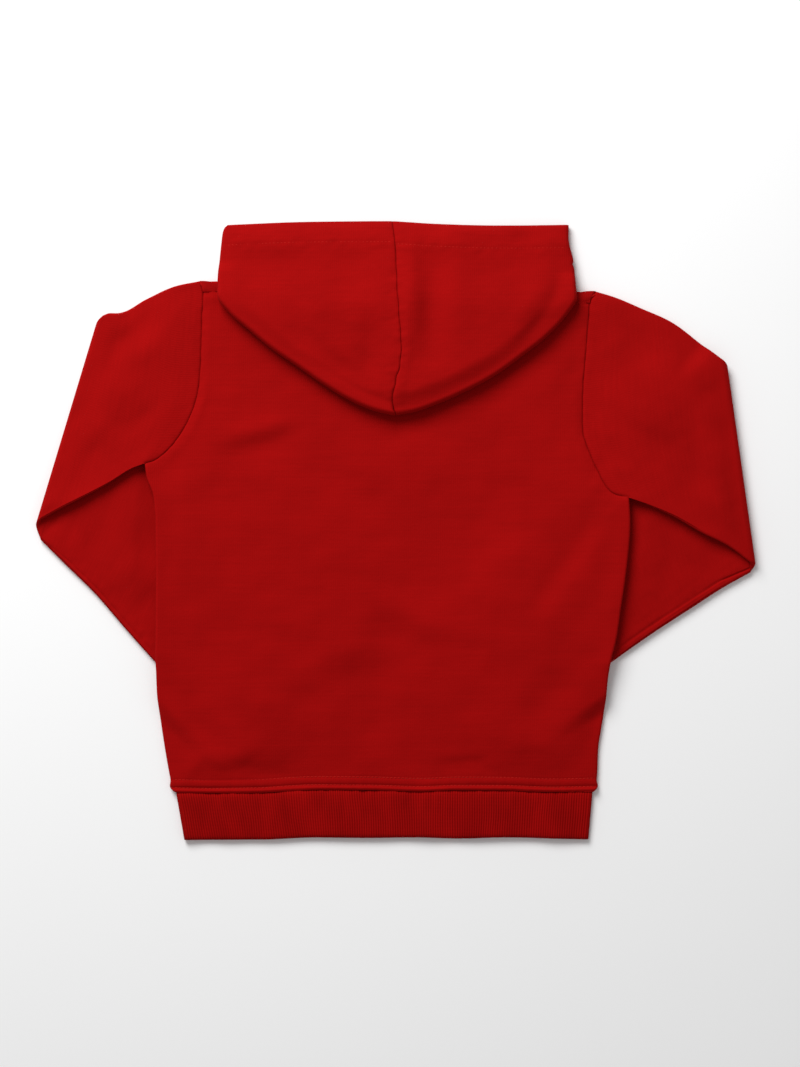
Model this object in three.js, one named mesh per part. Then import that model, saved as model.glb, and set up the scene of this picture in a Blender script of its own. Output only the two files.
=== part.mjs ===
// A child's hooded sweatshirt, laid face down and flat, with its hood laid back on its shoulders and
// both sleeves folded under. Millimetres: +X to the wearer's right, +Y towards the hood, +Z up.
import * as THREE from "three";

// Cloth and how it is layered
const CLOTH = 2; // thickness of the fleece
const PLY_GAP = 0.6; // air between the two plies of a flattened tube
const SEAM = 0.3; // gap between two pieces at a seam
const OUTER = CLOTH + PLY_GAP / 2; // half the height of a flattened tube, outside
const INNER = PLY_GAP / 2; // and inside
const MIDDLE = (OUTER + INNER) / 2;
const BEND = 2.6; // radius of a sleeve's middle surface where it is folded under
const UNDER = 2 * BEND; // height that a ply is lifted by the forearm beneath it
const LIFT_MARGIN = 16; // the lift holds this far beyond a forearm's edge
const LIFT_RAMP = 14; // and falls to the floor over this length

// Neck and shoulders: the top edge of the body seen from the back, on the left and on the right
const SHOULDER = { leftY: 199.8, rightY: 191.2, neckLeftY: 207, neckRightY: 201 };
const NECK_FROM = 0.25; // share of the body's width where the neck opening starts, and mirrored where it ends
const NECK_HALF = 78; // half the neck's width
const BACK_NECK_Y = 188; // middle of the back neckline
const FRONT_NECK_Y = 150; // middle of the front neckline
const BACK_NECK_CURVE = 2; // the necklines rise from their middles with this power of the distance across
const FRONT_NECK_CURVE = 2.6;
const SEAM_DOWN = 8.8; // shoulder seam below the shoulder's edge, on the back side
const NECK_BELOW_SEAM = 1; // the back neckline's ends below the shoulder seam
const NECK_SCALED_FROM = 60; // rows above this height are drawn down to the neckline where the neck is open
const HEM_RISE = 2.4; // middle of the body's lower edge above its ends
const EVEN_FROM = 45; // the rows of a panel are evenly spaced this far from its sides
const EDGE_STEPS = 3; // steps round each side edge of a panel, and across it
const ACROSS_STEPS = 20;
const NECK_STEP = 0.01; // a column this share of the width inside each end of the neck opening
const ROLL_ANGLES = [45, 0, -45]; // steps round the rolled edge of a flattened tube, in degrees
const WRAP_ANGLES = [0, 45, 90, 135, 180]; // and those of the front round the shoulder's edge

// Hood
const HOOD_REST = 2 * OUTER + SEAM; // underside of the hood's lower layer where it lies on the back
const HOOD_ROLL = 3.6; // inset of the axis of the hood's rolled edge from its outline
const HOOD_LOFT = 5.2; // middle of the visible layer above that of the lower one
const HOOD_TOP = HOOD_REST + CLOTH / 2 + HOOD_LOFT;
const HOOD_CROWN = { rise: 0.9, endX: 150, length: 60 }; // the visible layer's swell inside its edges
const HOOD_DROP = 6.5; // fall of the visible layer to the hood's opening edge
const HOOD_DROP_LENGTH = 24;
const SIDE_DROP_SHARE = 0.754; // its fall to the side edges beyond the shoulders, as a share of that
const SIDE_DROP_LENGTH = 26;
const CREASES_FROM_ROLL = 14; // creases fade out over this length at the rolled edge
const HOOD_ACROSS = 9; // steps across the visible layer, round the rolled edge and across the lower layer
const HOOD_ROLL_STEPS = 4;
const HOOD_UNDER_STEPS = 3;
const BED_MARGIN = 6; // the hood's lower layer stays up this far beyond the shoulder's edge
const BED_RAMP = 10; // and falls to the floor over this length
const FOLDS_CLEAR = 1; // air between the hidden folds and the visible layer

// Ribbed bands
const RIB_PITCH = 1.93;
const RIB_HEIGHT = 0.45;
const RIBS_PER_INNER = 4; // ribs for each step of the plain inside
const RIBS_PER_LOWER_STEP = 16; // and for each step of the plain underside
const LEAST_LOWER_STEPS = 3;

const table = (columns, rows) =>
  rows.map((row) => Object.fromEntries(columns.map((name, i) => [name, row[i]])));

// The body's sides from the hem to just below the armpits
const SIDES = table(["leftX", "leftY", "rightX", "rightY"], [
  [-178.4, -209.6, 159.2, -209.6],
  [-180.6, -199.2, 160.8, -199.2],
  [-185.6, -171.2, 162.4, -171.2],
  [-188.7, -150, 165.2, -154],
  [-190.8, -132, 167.8, -136],
  [-191.5, -115, 169.1, -120],
  [-192, -97.6, 171.4, -104.3],
  [-191.8, -78, 175.8, -86.4],
  [-191.6, -56, 179.2, -63.9],
  [-191.4, -30.4, 182.6, -41.4],
  [-191.9, -8, 185.3, -19],
  [-192.3, 14.7, 186.8, -1],
  [-194.2, 30.4, 187, 10],
  [-198.6, 41.6, 186.6, 19],
]);

// The armholes from the shoulder's edge down to the armpit
const ARMHOLES = table(["leftX", "leftY", "rightX", "rightY"], [
  [-157.1, 199.8, 159.8, 191.2],
  [-154.8, 191, 155.2, 182],
  [-155.3, 172, 154.5, 172],
  [-156, 149.6, 152.2, 142.7],
  [-157.1, 122.4, 150, 115.8],
  [-159.4, 106.8, 149.6, 93.3],
  [-163.8, 93.3, 150.4, 75.4],
  [-170.6, 79.8, 153.4, 66.4],
  [-181.8, 65.2, 160.1, 50.6],
  [-195.2, 55.2, 174.7, 29.3],
  [-200.5, 54, 186, 27],
]);

// Each upper sleeve from beside the armhole to its fold: its top outline and its underarm edge, and how much
// of the armhole's curve a section keeps
const UPPER_SLEEVES = {
  left: table(["topX", "topY", "lowX", "lowY", "curve"], [
    [-177.3, 196, -211, 49.6, 0.6],
    [-199.8, 185.8, -230, 37.5, 0.3],
    [-222.2, 174.2, -250, 26.7, 0.1],
    [-230.5, 172.2, -267.1, 18.1, 0],
  ]),
  right: table(["topX", "topY", "lowX", "lowY", "curve"], [
    [175, 187.4, 201, 20.8, 0.6],
    [196, 178.6, 222, 11.2, 0.3],
    [220.7, 167.4, 244, -1.5, 0.1],
    [246, 146.8, 265, -11.9, 0],
  ]),
};

// Each fold's outline: where it starts and ends on the upper sleeve, and on the forearm below
const FOLDS_UNDER = {
  left: {
    topX: -237.2, topY: 169, lowX: -285.2, lowY: 10.2,
    underTopX: -238.8, underTopY: 163, underLowX: -286.6, underLowY: -5,
  },
  right: {
    topX: 264, topY: 137, lowX: 284.6, lowY: -21.2,
    underTopX: 265.6, underTopY: 131, underLowX: 286.2, underLowY: -30,
  },
};
const TURN_STEPS = 5; // sections round the fold
const FOREARM_ROWS = 5; // and from the fold to the cuff

// The visible edge of each forearm from the fold down, and the line where the cuff is sewn on
const FOREARM_EDGES = {
  left: table(["x", "y"], [[-264.9, -24.6], [-242.4, -47], [-215.4, -79.6], [-191.2, -106.6]]),
  right: table(["x", "y"], [[262, -43.5], [238, -57.6], [205, -78.5], [170.9, -103.8]]),
};
const CUFF_SEAMS = { // wider: how far the sleeve passes the cuff at each end of the seam
  left: { topX: -106, topY: -76.5, lowX: -165, lowY: -130.5, wider: 3.4 },
  right: { topX: 101, topY: -61, lowX: 144.5, lowY: -121.5, wider: 3 },
};
const CUFF_LENGTH = 45;

// The hood: a section from the centre seam to the outline for each row, from the opening edge at the top to
// the tip, with the end of its hidden layer at the neck
const HOOD_ROWS = table(
  ["seamY", "leftX", "leftY", "rightX", "rightY", "neckX", "neckLeftY", "neckRightY"], [
    [247.6, -138.2, 243.8, 138.4, 244.6, 122, 240, 240],
    [238, -139.9, 230, 138.6, 231, 121.5, 227, 226],
    [229, -141.3, 216, 142, 217, 121, 214, 212],
    [220, -142.5, 202, 143.4, 201, 116, 208, 203.5],
    [215, -142.6, 194.5, 144, 193, 111, 206.5, 201],
    [211, -142.7, 187.5, 144.5, 185.5, 104, 205.5, 199],
    [203, -133.4, 174, 137, 173, 92, 202, 197],
    [195, -118, 160.5, 120, 154.5, 78, 197, 191],
    [187, -100, 145.6, 100, 138.8, 65, 193.5, 189],
    [179, -78, 130.5, 79, 123.8, 52, 190, 187.6],
    [171, -55.5, 115, 56, 111.3, 38, 188, 187],
    [163, -33, 102, 32.8, 101, 25, 187, 187],
    [156, -15, 95, 14, 94.6, 12, 187, 187],
    [149, -0.9, 92, -0.9, 92, 0, 187, 187],
  ]);
const HOOD_SEAM = table(["y", "x"], [
  [92, -0.9], [110, -2.2], [122.6, -0.4], [135, 3.4], [153, 4.2], [171, 2.7], [191.5, 1.1], [212, 0.2],
  [232, -0.9], [248, -3],
]);
const HOOD_EDGE_BULGE = { left: 1, right: -2 }; // the opening edge against a straight line

// The largest folds of the upper plies: centre, direction in degrees, length, width and height
const CREASES = table(["on", "x", "y", "angle", "length", "width", "height"], [
  ["body", -107, 69, 13, 80, 13, -1],
  ["body", 147, -34, 56, 130, 13, 1.1],
  ["body", 10, -87, -22, 100, 17, -1],
  ["body", -44, -121, 22, 115, 16, -0.9],
  ["body", 124, -135, 60, 60, 18, -1],
  ["body", -154, -160, -45, 55, 12, -0.9],
  ["body", -172, 3, 90, 100, 11, 0.9],
  ["hood", 12, 191, 90, 95, 9, 1.2],
  ["hood", 30, 177, 88, 80, 11, -1.3],
  ["hood", -61, 144, -43, 80, 11, -1],
  ["hood", 121, 175, 60, 80, 9, -1.1],
]);
const CREASE_ENDS = 1.3; // a crease fades out at this many of its half-lengths
const BODY_SWELL = 1.3; // air under the back panel away from its edges
const SWELL_FROM_EDGE = 34;
const HOOD_CLEAR = 10; // the back panel lies flat this far out from the hood
const SWELL_FROM_HOOD = 26;

// Colours from the photograph
const FLEECE_RED = 0x990d0c;
const RIB_RED = 0x820807;

const degrees = THREE.MathUtils.degToRad;
const mix = THREE.MathUtils.lerp;
const plan = (x, y) => new THREE.Vector2(x, y);
const between = (a, b, t) => a.clone().lerp(b, t);
const ease = (t) => THREE.MathUtils.smoothstep(t, 0, 1);
const signOf = (side) => (side === "left" ? -1 : 1);
const clamp = THREE.MathUtils.clamp;

// Distance of a plan point outside a closed outline, 0 inside it
function distanceOutside(outline, x, y) {
  let inside = false;
  let nearest = Infinity;
  outline.forEach((b, i) => {
    const a = outline[(i + outline.length - 1) % outline.length];
    if (a.y > y !== b.y > y && x < a.x + ((b.x - a.x) * (y - a.y)) / (b.y - a.y)) inside = !inside;
    nearest = Math.min(nearest, distanceToSegment(a, b, x, y));
  });
  return inside ? 0 : nearest;
}

function distanceToSegment(a, b, x, y) {
  const run = b.clone().sub(a);
  const t = clamp(((x - a.x) * run.x + (y - a.y) * run.y) / (run.lengthSq() || 1), 0, 1);
  return Math.hypot(x - a.x - run.x * t, y - a.y - run.y * t);
}

// Value of a table's column at a value of another one
function along(rows, key, value, column) {
  const next = rows.findIndex((row) => row[key] >= value);
  if (next <= 0) return rows[next === 0 ? 0 : rows.length - 1][column];
  const [a, b] = [rows[next - 1], rows[next]];
  return mix(a[column], b[column], (value - a[key]) / (b[key] - a[key]));
}

// Sum of the creases of one piece at a plan point
function creases(on, x, y) {
  return CREASES.filter((crease) => crease.on === on).reduce((sum, crease) => {
    const turned = plan(x - crease.x, y - crease.y).rotateAround(plan(0, 0), -degrees(crease.angle));
    const reach = Math.abs(turned.x) / (crease.length / 2);
    const across = Math.exp(-((turned.y / crease.width) ** 2));
    return sum + crease.height * across * ease(CREASE_ENDS - reach);
  }, 0);
}

const armhole = ARMHOLES.map((row) => ({
  left: plan(row.leftX, row.leftY),
  right: plan(row.rightX, row.rightY),
}));
const armpit = armhole.length - 1;

// Unit normal of an armhole's curve at a point, pointing to the body
function bodyward(side, index) {
  const before = armhole[Math.max(index - 1, 0)][side];
  const after = armhole[Math.min(index + 1, armpit)][side];
  const run = after.clone().sub(before).normalize();
  return side === "left" ? plan(-run.y, run.x) : plan(run.y, -run.x);
}

// A point of the armhole, inset along its curve at the rolled ends. Half the seam's gap lies on each side.
function armholePoint(side, index, inset, toBody) {
  const end = index === 0 ? armhole[1][side] : armhole[armpit - 1][side];
  const start = armhole[index][side].clone();
  if (inset) start.add(end.clone().sub(start).setLength(inset));
  return start.addScaledVector(bodyward(side, index), (toBody ? 1 : -1) * (SEAM / 2));
}

// Shares of the armhole's length at its points
const acrossShares = { left: lengthShares("left"), right: lengthShares("right") };
function lengthShares(side) {
  const lengths = armhole.map((point, i) => (i ? point[side].distanceTo(armhole[i - 1][side]) : 0));
  const total = lengths.reduce((a, b) => a + b);
  let run = 0;
  return lengths.map((length) => (run += length) / total);
}

// The forearm: its edges from the fold to the cuff's seam
function forearmEdges(side) {
  const fold = FOLDS_UNDER[side];
  const seam = CUFF_SEAMS[side];
  const [top, low] = [plan(seam.topX, seam.topY), plan(seam.lowX, seam.lowY)];
  const wider = top.clone().sub(low).setLength(seam.wider);
  const tops = [plan(fold.underTopX, fold.underTopY), top.clone().add(wider)];
  const edge = FOREARM_EDGES[side].map((row) => plan(row.x, row.y));
  const lows = [plan(fold.underLowX, fold.underLowY), ...edge, low.clone().sub(wider)];
  return { tops: lows.map((_, i) => between(tops[0], tops[1], i / FOREARM_ROWS)), lows };
}
const forearms = { left: forearmEdges("left"), right: forearmEdges("right") };

// The cuff's plan: its sewn line and its free end, each from the top edge to the lower one
function cuffPlan(side) {
  const seam = CUFF_SEAMS[side];
  const sewn = [plan(seam.topX, seam.topY), plan(seam.lowX, seam.lowY)];
  const run = sewn[1].clone().sub(sewn[0]).normalize();
  const away = side === "left" ? plan(-run.y, run.x) : plan(run.y, -run.x);
  return { sewn, free: sewn.map((point) => point.clone().addScaledVector(away, CUFF_LENGTH)), away };
}
const cuffs = { left: cuffPlan("left"), right: cuffPlan("right") };

const forearmOutlines = ["left", "right"].map((side) => [
  ...forearms[side].tops, ...cuffs[side].free, ...forearms[side].lows.slice().reverse(),
]);

// Height that a ply is lifted where it lies on a forearm
function lift(x, y) {
  const clear = Math.min(...forearmOutlines.map((outline) => distanceOutside(outline, x, y)));
  return UNDER * ease(1 - (clear - LIFT_MARGIN) / LIFT_RAMP);
}

// The body's top edge in plan: the shoulders, and between them the back neckline
function shoulderEdge(x) {
  const { leftY, neckLeftY, rightY, neckRightY } = SHOULDER;
  if (Math.abs(x) < NECK_HALF) return mix(neckLeftY, neckRightY, (x + NECK_HALF) / (2 * NECK_HALF));
  const [end, neck] = x < 0 ? [leftY, neckLeftY] : [rightY, neckRightY];
  return mix(neck, end, Math.min((Math.abs(x) - NECK_HALF) / (armhole[0].right.x - NECK_HALF), 1));
}
function neckEdge(x, middle, drop, power) {
  const across = Math.min(Math.abs(x) / NECK_HALF, 1);
  return mix(middle, shoulderEdge(x) - drop, across ** power);
}
const backNeck = (x) => neckEdge(x, BACK_NECK_Y, SEAM_DOWN + NECK_BELOW_SEAM, BACK_NECK_CURVE);
const frontNeck = (x) => neckEdge(x, FRONT_NECK_Y, OUTER, FRONT_NECK_CURVE);
const inNeck = (x) => Math.abs(x) < NECK_HALF;
const bodyTop = (x) => (inNeck(x) ? neckEdge(x, BACK_NECK_Y, 0, BACK_NECK_CURVE) : shoulderEdge(x));

const bodyOutline = [
  ...SIDES.map((row) => plan(row.leftX, row.leftY)),
  ...armhole.map((point) => point.left).reverse(),
  ...armhole.map((point) => point.right),
  ...SIDES.map((row) => plan(row.rightX, row.rightY)).reverse(),
];
const hoodOutline = [
  ...HOOD_ROWS.map((row) => plan(row.leftX, row.leftY)),
  ...HOOD_ROWS.map((row) => plan(row.rightX, row.rightY)).reverse(),
];

// The swell and the creases of the back panel, none at its edges and under the hood
function backRise(x, y) {
  const edges = bodyOutline.map((b, i) => distanceToSegment(bodyOutline.at(i - 1), b, x, y));
  const inside = ease(Math.min(...edges) / SWELL_FROM_EDGE);
  const clearOfHood = ease((distanceOutside(hoodOutline, x, y) - HOOD_CLEAR) / SWELL_FROM_HOOD);
  return inside * clearOfHood * (BODY_SWELL + creases("body", x, y));
}

// One closed wall between two grids of points, rows by columns. A closed grid's columns run right round.
function wall(outer, inner, closed) {
  const rows = outer.length;
  const columns = outer[0].length;
  const points = [...outer.flat(), ...inner.flat()];
  const outerAt = (i, j) => i * columns + (j % columns);
  const innerAt = (i, j) => rows * columns + outerAt(i, j);
  const faces = [];
  const quad = (a, b, c, d) => faces.push([a, b, c], [a, c, d]);
  const last = closed ? columns : columns - 1;
  for (let i = 0; i + 1 < rows; i++) {
    for (let j = 0; j < last; j++) {
      quad(outerAt(i, j), outerAt(i, j + 1), outerAt(i + 1, j + 1), outerAt(i + 1, j));
      quad(innerAt(i, j), innerAt(i + 1, j), innerAt(i + 1, j + 1), innerAt(i, j + 1));
    }
  }
  for (let j = 0; j < last; j++) {
    quad(outerAt(0, j + 1), outerAt(0, j), innerAt(0, j), innerAt(0, j + 1));
    quad(outerAt(rows - 1, j), outerAt(rows - 1, j + 1), innerAt(rows - 1, j + 1), innerAt(rows - 1, j));
  }
  for (let i = 0; !closed && i + 1 < rows; i++) {
    quad(outerAt(i, 0), outerAt(i + 1, 0), innerAt(i + 1, 0), innerAt(i, 0));
    quad(outerAt(i + 1, last), outerAt(i, last), innerAt(i, last), innerAt(i + 1, last));
  }
  return body(points, faces);
}

// A geometry from points and faces, turned so that its faces point out
function body(points, faces) {
  const volume = faces.reduce((sum, [a, b, c]) => {
    return sum + points[a].dot(points[b].clone().cross(points[c]));
  }, 0);
  const turned = volume < 0 ? faces.map(([a, b, c]) => [a, c, b]) : faces;
  const geometry = new THREE.BufferGeometry().setFromPoints(points);
  geometry.setIndex(turned.flat());
  geometry.computeVertexNormals();
  return geometry;
}

// The rows of a body panel from the hem up: how each starts and ends, and how far its edges are rolled
function bodyRows() {
  const sides = SIDES.map((row) => ({
    at: (side) => plan(row[`${side}X`], row[`${side}Y`]),
    start: 0,
    rolled: true,
  }));
  const pit = { at: (side) => armholePoint(side, armpit, 0, true), start: 0, rolled: true };
  const roll = ROLL_ANGLES[0];
  const pitRoll = {
    at: (side, half) => armholePoint(side, armpit, OUTER - half * Math.cos(degrees(roll)), true),
    start: roll,
    rolled: false,
  };
  const arm = [];
  for (let k = armpit; k >= 1; k--) {
    const inset = k === armpit ? OUTER : 0;
    arm.push({ at: (side) => armholePoint(side, k, inset, true), start: 90, rolled: false });
  }
  return [...sides, pit, pitRoll, ...arm];
}

// The columns across a body panel: edge steps, then even steps, then edge steps
function bodyColumns() {
  const columns = [];
  for (let c = 0; c < EDGE_STEPS; c++) columns.push({ edge: c / EDGE_STEPS, across: 0 });
  for (let c = 0; c <= ACROSS_STEPS; c++) {
    const across = c / ACROSS_STEPS;
    if (across === 1 - NECK_FROM) columns.push({ edge: 1, across: across - NECK_STEP });
    columns.push({ edge: 1, across });
    if (across === NECK_FROM) columns.push({ edge: 1, across: across + NECK_STEP });
  }
  for (let c = EDGE_STEPS - 1; c >= 0; c--) columns.push({ edge: c / EDGE_STEPS, across: 1 });
  return columns;
}

// Plan point and height share of a body panel's surface at a row and column
function bodyPlace(row, column, half) {
  const angle = degrees(mix(row.start, 90, column.edge));
  const inset = row.rolled ? OUTER - half * Math.cos(angle) : OUTER * column.edge;
  const [left, right] = [row.at("left", half), row.at("right", half)];
  const run = right.clone().sub(left).normalize();
  left.addScaledVector(run, inset);
  right.addScaledVector(run, -inset);
  const seamHalf = row.start === 0 ? SEAM / 2 : 0;
  const point = between(left, right, column.across);
  const fromEdge = Math.min(point.distanceTo(left), point.distanceTo(right));
  const height = Math.max(half * Math.sin(angle), seamHalf);
  return { point, height, level: Math.sin(angle), even: ease(fromEdge / EVEN_FROM) };
}
const bowed = (share) => 1 - (2 * share - 1) ** 2; // 0 at both ends of a line, 1 at its middle
const hemLine = (across) => SIDES[0].leftY + HEM_RISE * bowed(across);

// Plan point of a body panel, with its rows evenly spaced away from the sides
function panelPlace(rows, i, column, half) {
  const { point, height, level, even } = bodyPlace(rows[i], column, half);
  const hem = hemLine(column.across);
  const evenly = mix(hem, shoulderEdge(point.x) - SEAM_DOWN, i / (rows.length - 1));
  point.y = i ? mix(point.y, evenly, even) : hem;
  return { point, height, level };
}

// Height of a row where the neck is open: the upper rows are drawn down to the neckline
function aboveNeckStart(y, column, whole, neckline) {
  const open = column.across > NECK_FROM && column.across < 1 - NECK_FROM;
  if (!open || y < NECK_SCALED_FROM) return y;
  const share = (y - NECK_SCALED_FROM) / (whole - NECK_SCALED_FROM);
  return mix(NECK_SCALED_FROM, neckline, share);
}

function backPanel() {
  const rows = bodyRows();
  const columns = bodyColumns();
  const grid = (half) =>
    rows.map((row, i) =>
      columns.map((column) => {
        const { point, height, level } = panelPlace(rows, i, column, half);
        const gap = i + 1 === rows.length ? SEAM / 2 : 0;
        const seam = shoulderEdge(point.x) - SEAM_DOWN;
        point.y = aboveNeckStart(point.y, column, seam, backNeck(point.x)) - gap;
        const z = OUTER + lift(point.x, point.y) + height + backRise(point.x, point.y) * level;
        return new THREE.Vector3(point.x, point.y, z);
      }),
    );
  return wall(grid(OUTER), grid(INNER), false);
}

// The front panel. Its last rows reach over the shoulder, each by a length along the cloth.
const WRAP_WHOLE = Math.PI * MIDDLE + SEAM_DOWN - OUTER - SEAM / 2;
function frontPanel() {
  const rows = bodyRows();
  const columns = bodyColumns();
  const wraps = [...WRAP_ANGLES.map((angle) => degrees(angle) * MIDDLE), WRAP_WHOLE];
  const grid = (half) => [
    ...rows.map((row, i) =>
      columns.map((column) => {
        const { point, height } = panelPlace(rows, i, column, half);
        return frontPoint(point.x, point.y, height, column);
      }),
    ),
    ...wraps.map((wrap) =>
      columns.map((column) => {
        const turn = wrap / MIDDLE;
        const [index, inset] = turn > Math.PI ? [1, 0] : [0, OUTER - half * Math.sin(turn)];
        const edge = (side) => armholePoint(side, index, inset, true).x - signOf(side) * OUTER * column.edge;
        const x = mix(edge("left"), edge("right"), column.across);
        return frontPoint(x, shoulderEdge(x) - OUTER + wrap, half, column);
      }),
    ),
  ];
  return wall(grid(OUTER), grid(INNER), false);
}

// A point of the front from its place along the cloth: flat, over the shoulder, then on the back side
function frontPoint(x, alongCloth, height, column) {
  const shoulder = shoulderEdge(x) - OUTER;
  const run = aboveNeckStart(alongCloth, column, shoulder + WRAP_WHOLE, frontNeck(x));
  if (run <= shoulder) return new THREE.Vector3(x, run, OUTER + lift(x, run) - height);
  const turn = Math.min((run - shoulder) / MIDDLE, Math.PI);
  const past = Math.max(run - shoulder - Math.PI * MIDDLE, 0);
  return new THREE.Vector3(x, shoulder + height * Math.sin(turn) - past, OUTER - height * Math.cos(turn));
}

// A sleeve's sections: plan of the top and low ends, how far it has turned under, and its kept curve
function sleeveSections(side) {
  const fold = FOLDS_UNDER[side];
  const sections = [{ top: null, low: null, turn: 0, curve: 1 }];
  for (const row of UPPER_SLEEVES[side]) {
    const [top, low] = [plan(row.topX, row.topY), plan(row.lowX, row.lowY)];
    sections.push({ top, low, turn: 0, curve: row.curve });
  }
  for (let step = 0; step <= TURN_STEPS; step++) {
    const share = step / TURN_STEPS;
    const top = between(plan(fold.topX, fold.topY), plan(fold.underTopX, fold.underTopY), share);
    const low = between(plan(fold.lowX, fold.lowY), plan(fold.underLowX, fold.underLowY), share);
    sections.push({ top, low, turn: 180 * share, curve: 0, folded: true });
  }
  const { tops, lows } = forearms[side];
  for (let i = 1; i < lows.length; i++) sections.push({ top: tops[i], low: lows[i], turn: 180, curve: 0 });
  return sections;
}

// The stadium round a sleeve's section, as shares across it and signed heights
function stadium(side, half) {
  const shares = acrossShares[side];
  const flat = (sign) => shares.map((share, i) => {
    const inset = i === 0 ? OUTER : i === armpit ? -OUTER : 0;
    return { share, inset, index: i, height: sign * half };
  });
  const roll = (index, sign) => ROLL_ANGLES.map((angle) => ({
    share: index ? 1 : 0,
    inset: (index ? -1 : 1) * (OUTER - half * Math.cos(degrees(angle))),
    index,
    height: sign * half * Math.sin(degrees(angle)),
  }));
  return [...flat(1), ...roll(armpit, 1), ...flat(-1).reverse(), ...roll(0, -1)];
}

function sleeve(side) {
  const sections = sleeveSections(side);
  const ends = [armhole[0][side], armhole[armpit][side]];
  const straight = (share) => between(ends[0], ends[1], share);
  const bow = acrossShares[side].map((share, i) => armhole[i][side].clone().sub(straight(share)));
  const grid = (half) =>
    sections.map((section) =>
      stadium(side, half).map((spot) => {
        if (!section.top) {
          const place = armholePoint(side, spot.index, Math.abs(spot.inset), false);
          return ply(place, spot.height);
        }
        const run = section.low.clone().sub(section.top);
        const place = section.top.clone().addScaledVector(run, spot.share);
        place.add(run.clone().setLength(spot.inset || 0)).addScaledVector(bow[spot.index], section.curve);
        if (!section.turn && !section.folded) return ply(place, spot.height);
        if (!section.folded) return new THREE.Vector3(place.x, place.y, OUTER - spot.height);
        const outward = plan(run.y, -run.x).normalize().multiplyScalar(-signOf(side));
        const turn = degrees(section.turn);
        place.addScaledVector(outward, (BEND + spot.height) * Math.sin(turn) - BEND - OUTER);
        return new THREE.Vector3(place.x, place.y, OUTER + BEND + (BEND + spot.height) * Math.cos(turn));
      }),
    );
  return wall(grid(OUTER), grid(INNER), true);
}
function ply(place, height) {
  return new THREE.Vector3(place.x, place.y, OUTER + lift(place.x, place.y) + height);
}

// A ribbed band: a flattened tube between two plan lines, with ribs on its upper side and a plain inside
function ribbedBand(startEdge, endEdge, width) {
  const ribs = Math.round(width / RIB_PITCH / RIBS_PER_INNER) * RIBS_PER_INNER;
  const lower = Math.max(Math.round(ribs / RIBS_PER_LOWER_STEP), LEAST_LOWER_STEPS);
  const outerSpots = [];
  const innerSpots = [];
  const level = (share) => OUTER * (1 - 2 * share); // inset of a spot on a flat side
  for (let k = 0; k <= ribs * 2; k++) {
    const share = k / (ribs * 2);
    const ridge = k % 2 ? RIB_HEIGHT / 2 : -RIB_HEIGHT / 2;
    outerSpots.push({ share, inset: level(share), height: OUTER + ridge });
    if (k % (2 * RIBS_PER_INNER) === 0) {
      innerSpots.push({ share, inset: level(share), height: INNER, match: outerSpots.length - 1 });
    }
  }
  const paired = (spot) => {
    outerSpots.push(spot(OUTER));
    innerSpots.push({ ...spot(INNER), match: outerSpots.length - 1 });
  };
  const roll = (share, angle) => paired((half) => {
    const inset = (share ? -1 : 1) * (OUTER - half * Math.cos(degrees(angle)));
    return { share, inset, height: half * Math.sin(degrees(angle)) };
  });
  ROLL_ANGLES.forEach((angle) => roll(1, angle));
  for (let k = 0; k <= lower; k++) {
    const share = 1 - k / lower;
    paired((half) => ({ share, inset: level(share), height: -half }));
  }
  ROLL_ANGLES.forEach((angle) => roll(0, -angle));
  const place = (edge, spot) => {
    const run = edge(1).sub(edge(0)).normalize();
    const point = edge(spot.share).addScaledVector(run, spot.inset);
    return new THREE.Vector3(point.x, point.y, OUTER + spot.height);
  };
  return stitchedTube(
    [startEdge, endEdge].map((edge) => outerSpots.map((spot) => place(edge, spot))),
    [startEdge, endEdge].map((edge) => innerSpots.map((spot) => place(edge, spot))),
    innerSpots.map((spot) => spot.match),
  );
}

// A tube's wall whose outside has more columns than its inside. match gives each inner column's outer one.
function stitchedTube(outer, inner, match) {
  const [wide, plain] = [outer[0].length, inner[0].length];
  const points = [...outer.flat(), ...inner.flat()];
  const outerAt = (i, j) => i * wide + (j % wide);
  const innerAt = (i, j) => 2 * wide + i * plain + (j % plain);
  const faces = [];
  const quad = (a, b, c, d) => faces.push([a, b, c], [a, c, d]);
  for (let j = 0; j < wide; j++) {
    quad(outerAt(0, j), outerAt(0, j + 1), outerAt(1, j + 1), outerAt(1, j));
  }
  for (let k = 0; k < plain; k++) {
    quad(innerAt(0, k), innerAt(1, k), innerAt(1, k + 1), innerAt(0, k + 1));
    const from = match[k];
    const to = k + 1 < plain ? match[k + 1] : wide;
    const half = Math.round((from + to) / 2);
    for (let row = 0; row < 2; row++) {
      const face = (a, b, c) => faces.push(row ? [a, b, c] : [b, a, c]);
      for (let j = from; j < half; j++) face(outerAt(row, j), outerAt(row, j + 1), innerAt(row, k));
      face(innerAt(row, k), outerAt(row, half), innerAt(row, k + 1));
      for (let j = half; j < to; j++) face(outerAt(row, j), outerAt(row, j + 1), innerAt(row, k + 1));
    }
  }
  return body(points, faces);
}

// The waistband's upper and lower edges, seen from the back
const BAND = { topLeftX: -176.2, topRightX: 157.6, lowLeftX: -169.6, lowRightX: 154.2, lowY: -247.4 };
const BAND_RISE = 2.2; // middle of its lower edge above the ends
function waistband() {
  const top = (share) => plan(mix(BAND.topLeftX, BAND.topRightX, share), hemLine(share) - SEAM);
  const lowY = (share) => BAND.lowY + BAND_RISE * bowed(share);
  const low = (share) => plan(mix(BAND.lowLeftX, BAND.lowRightX, share), lowY(share));
  return ribbedBand(top, low, BAND.lowRightX - BAND.lowLeftX);
}

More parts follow.
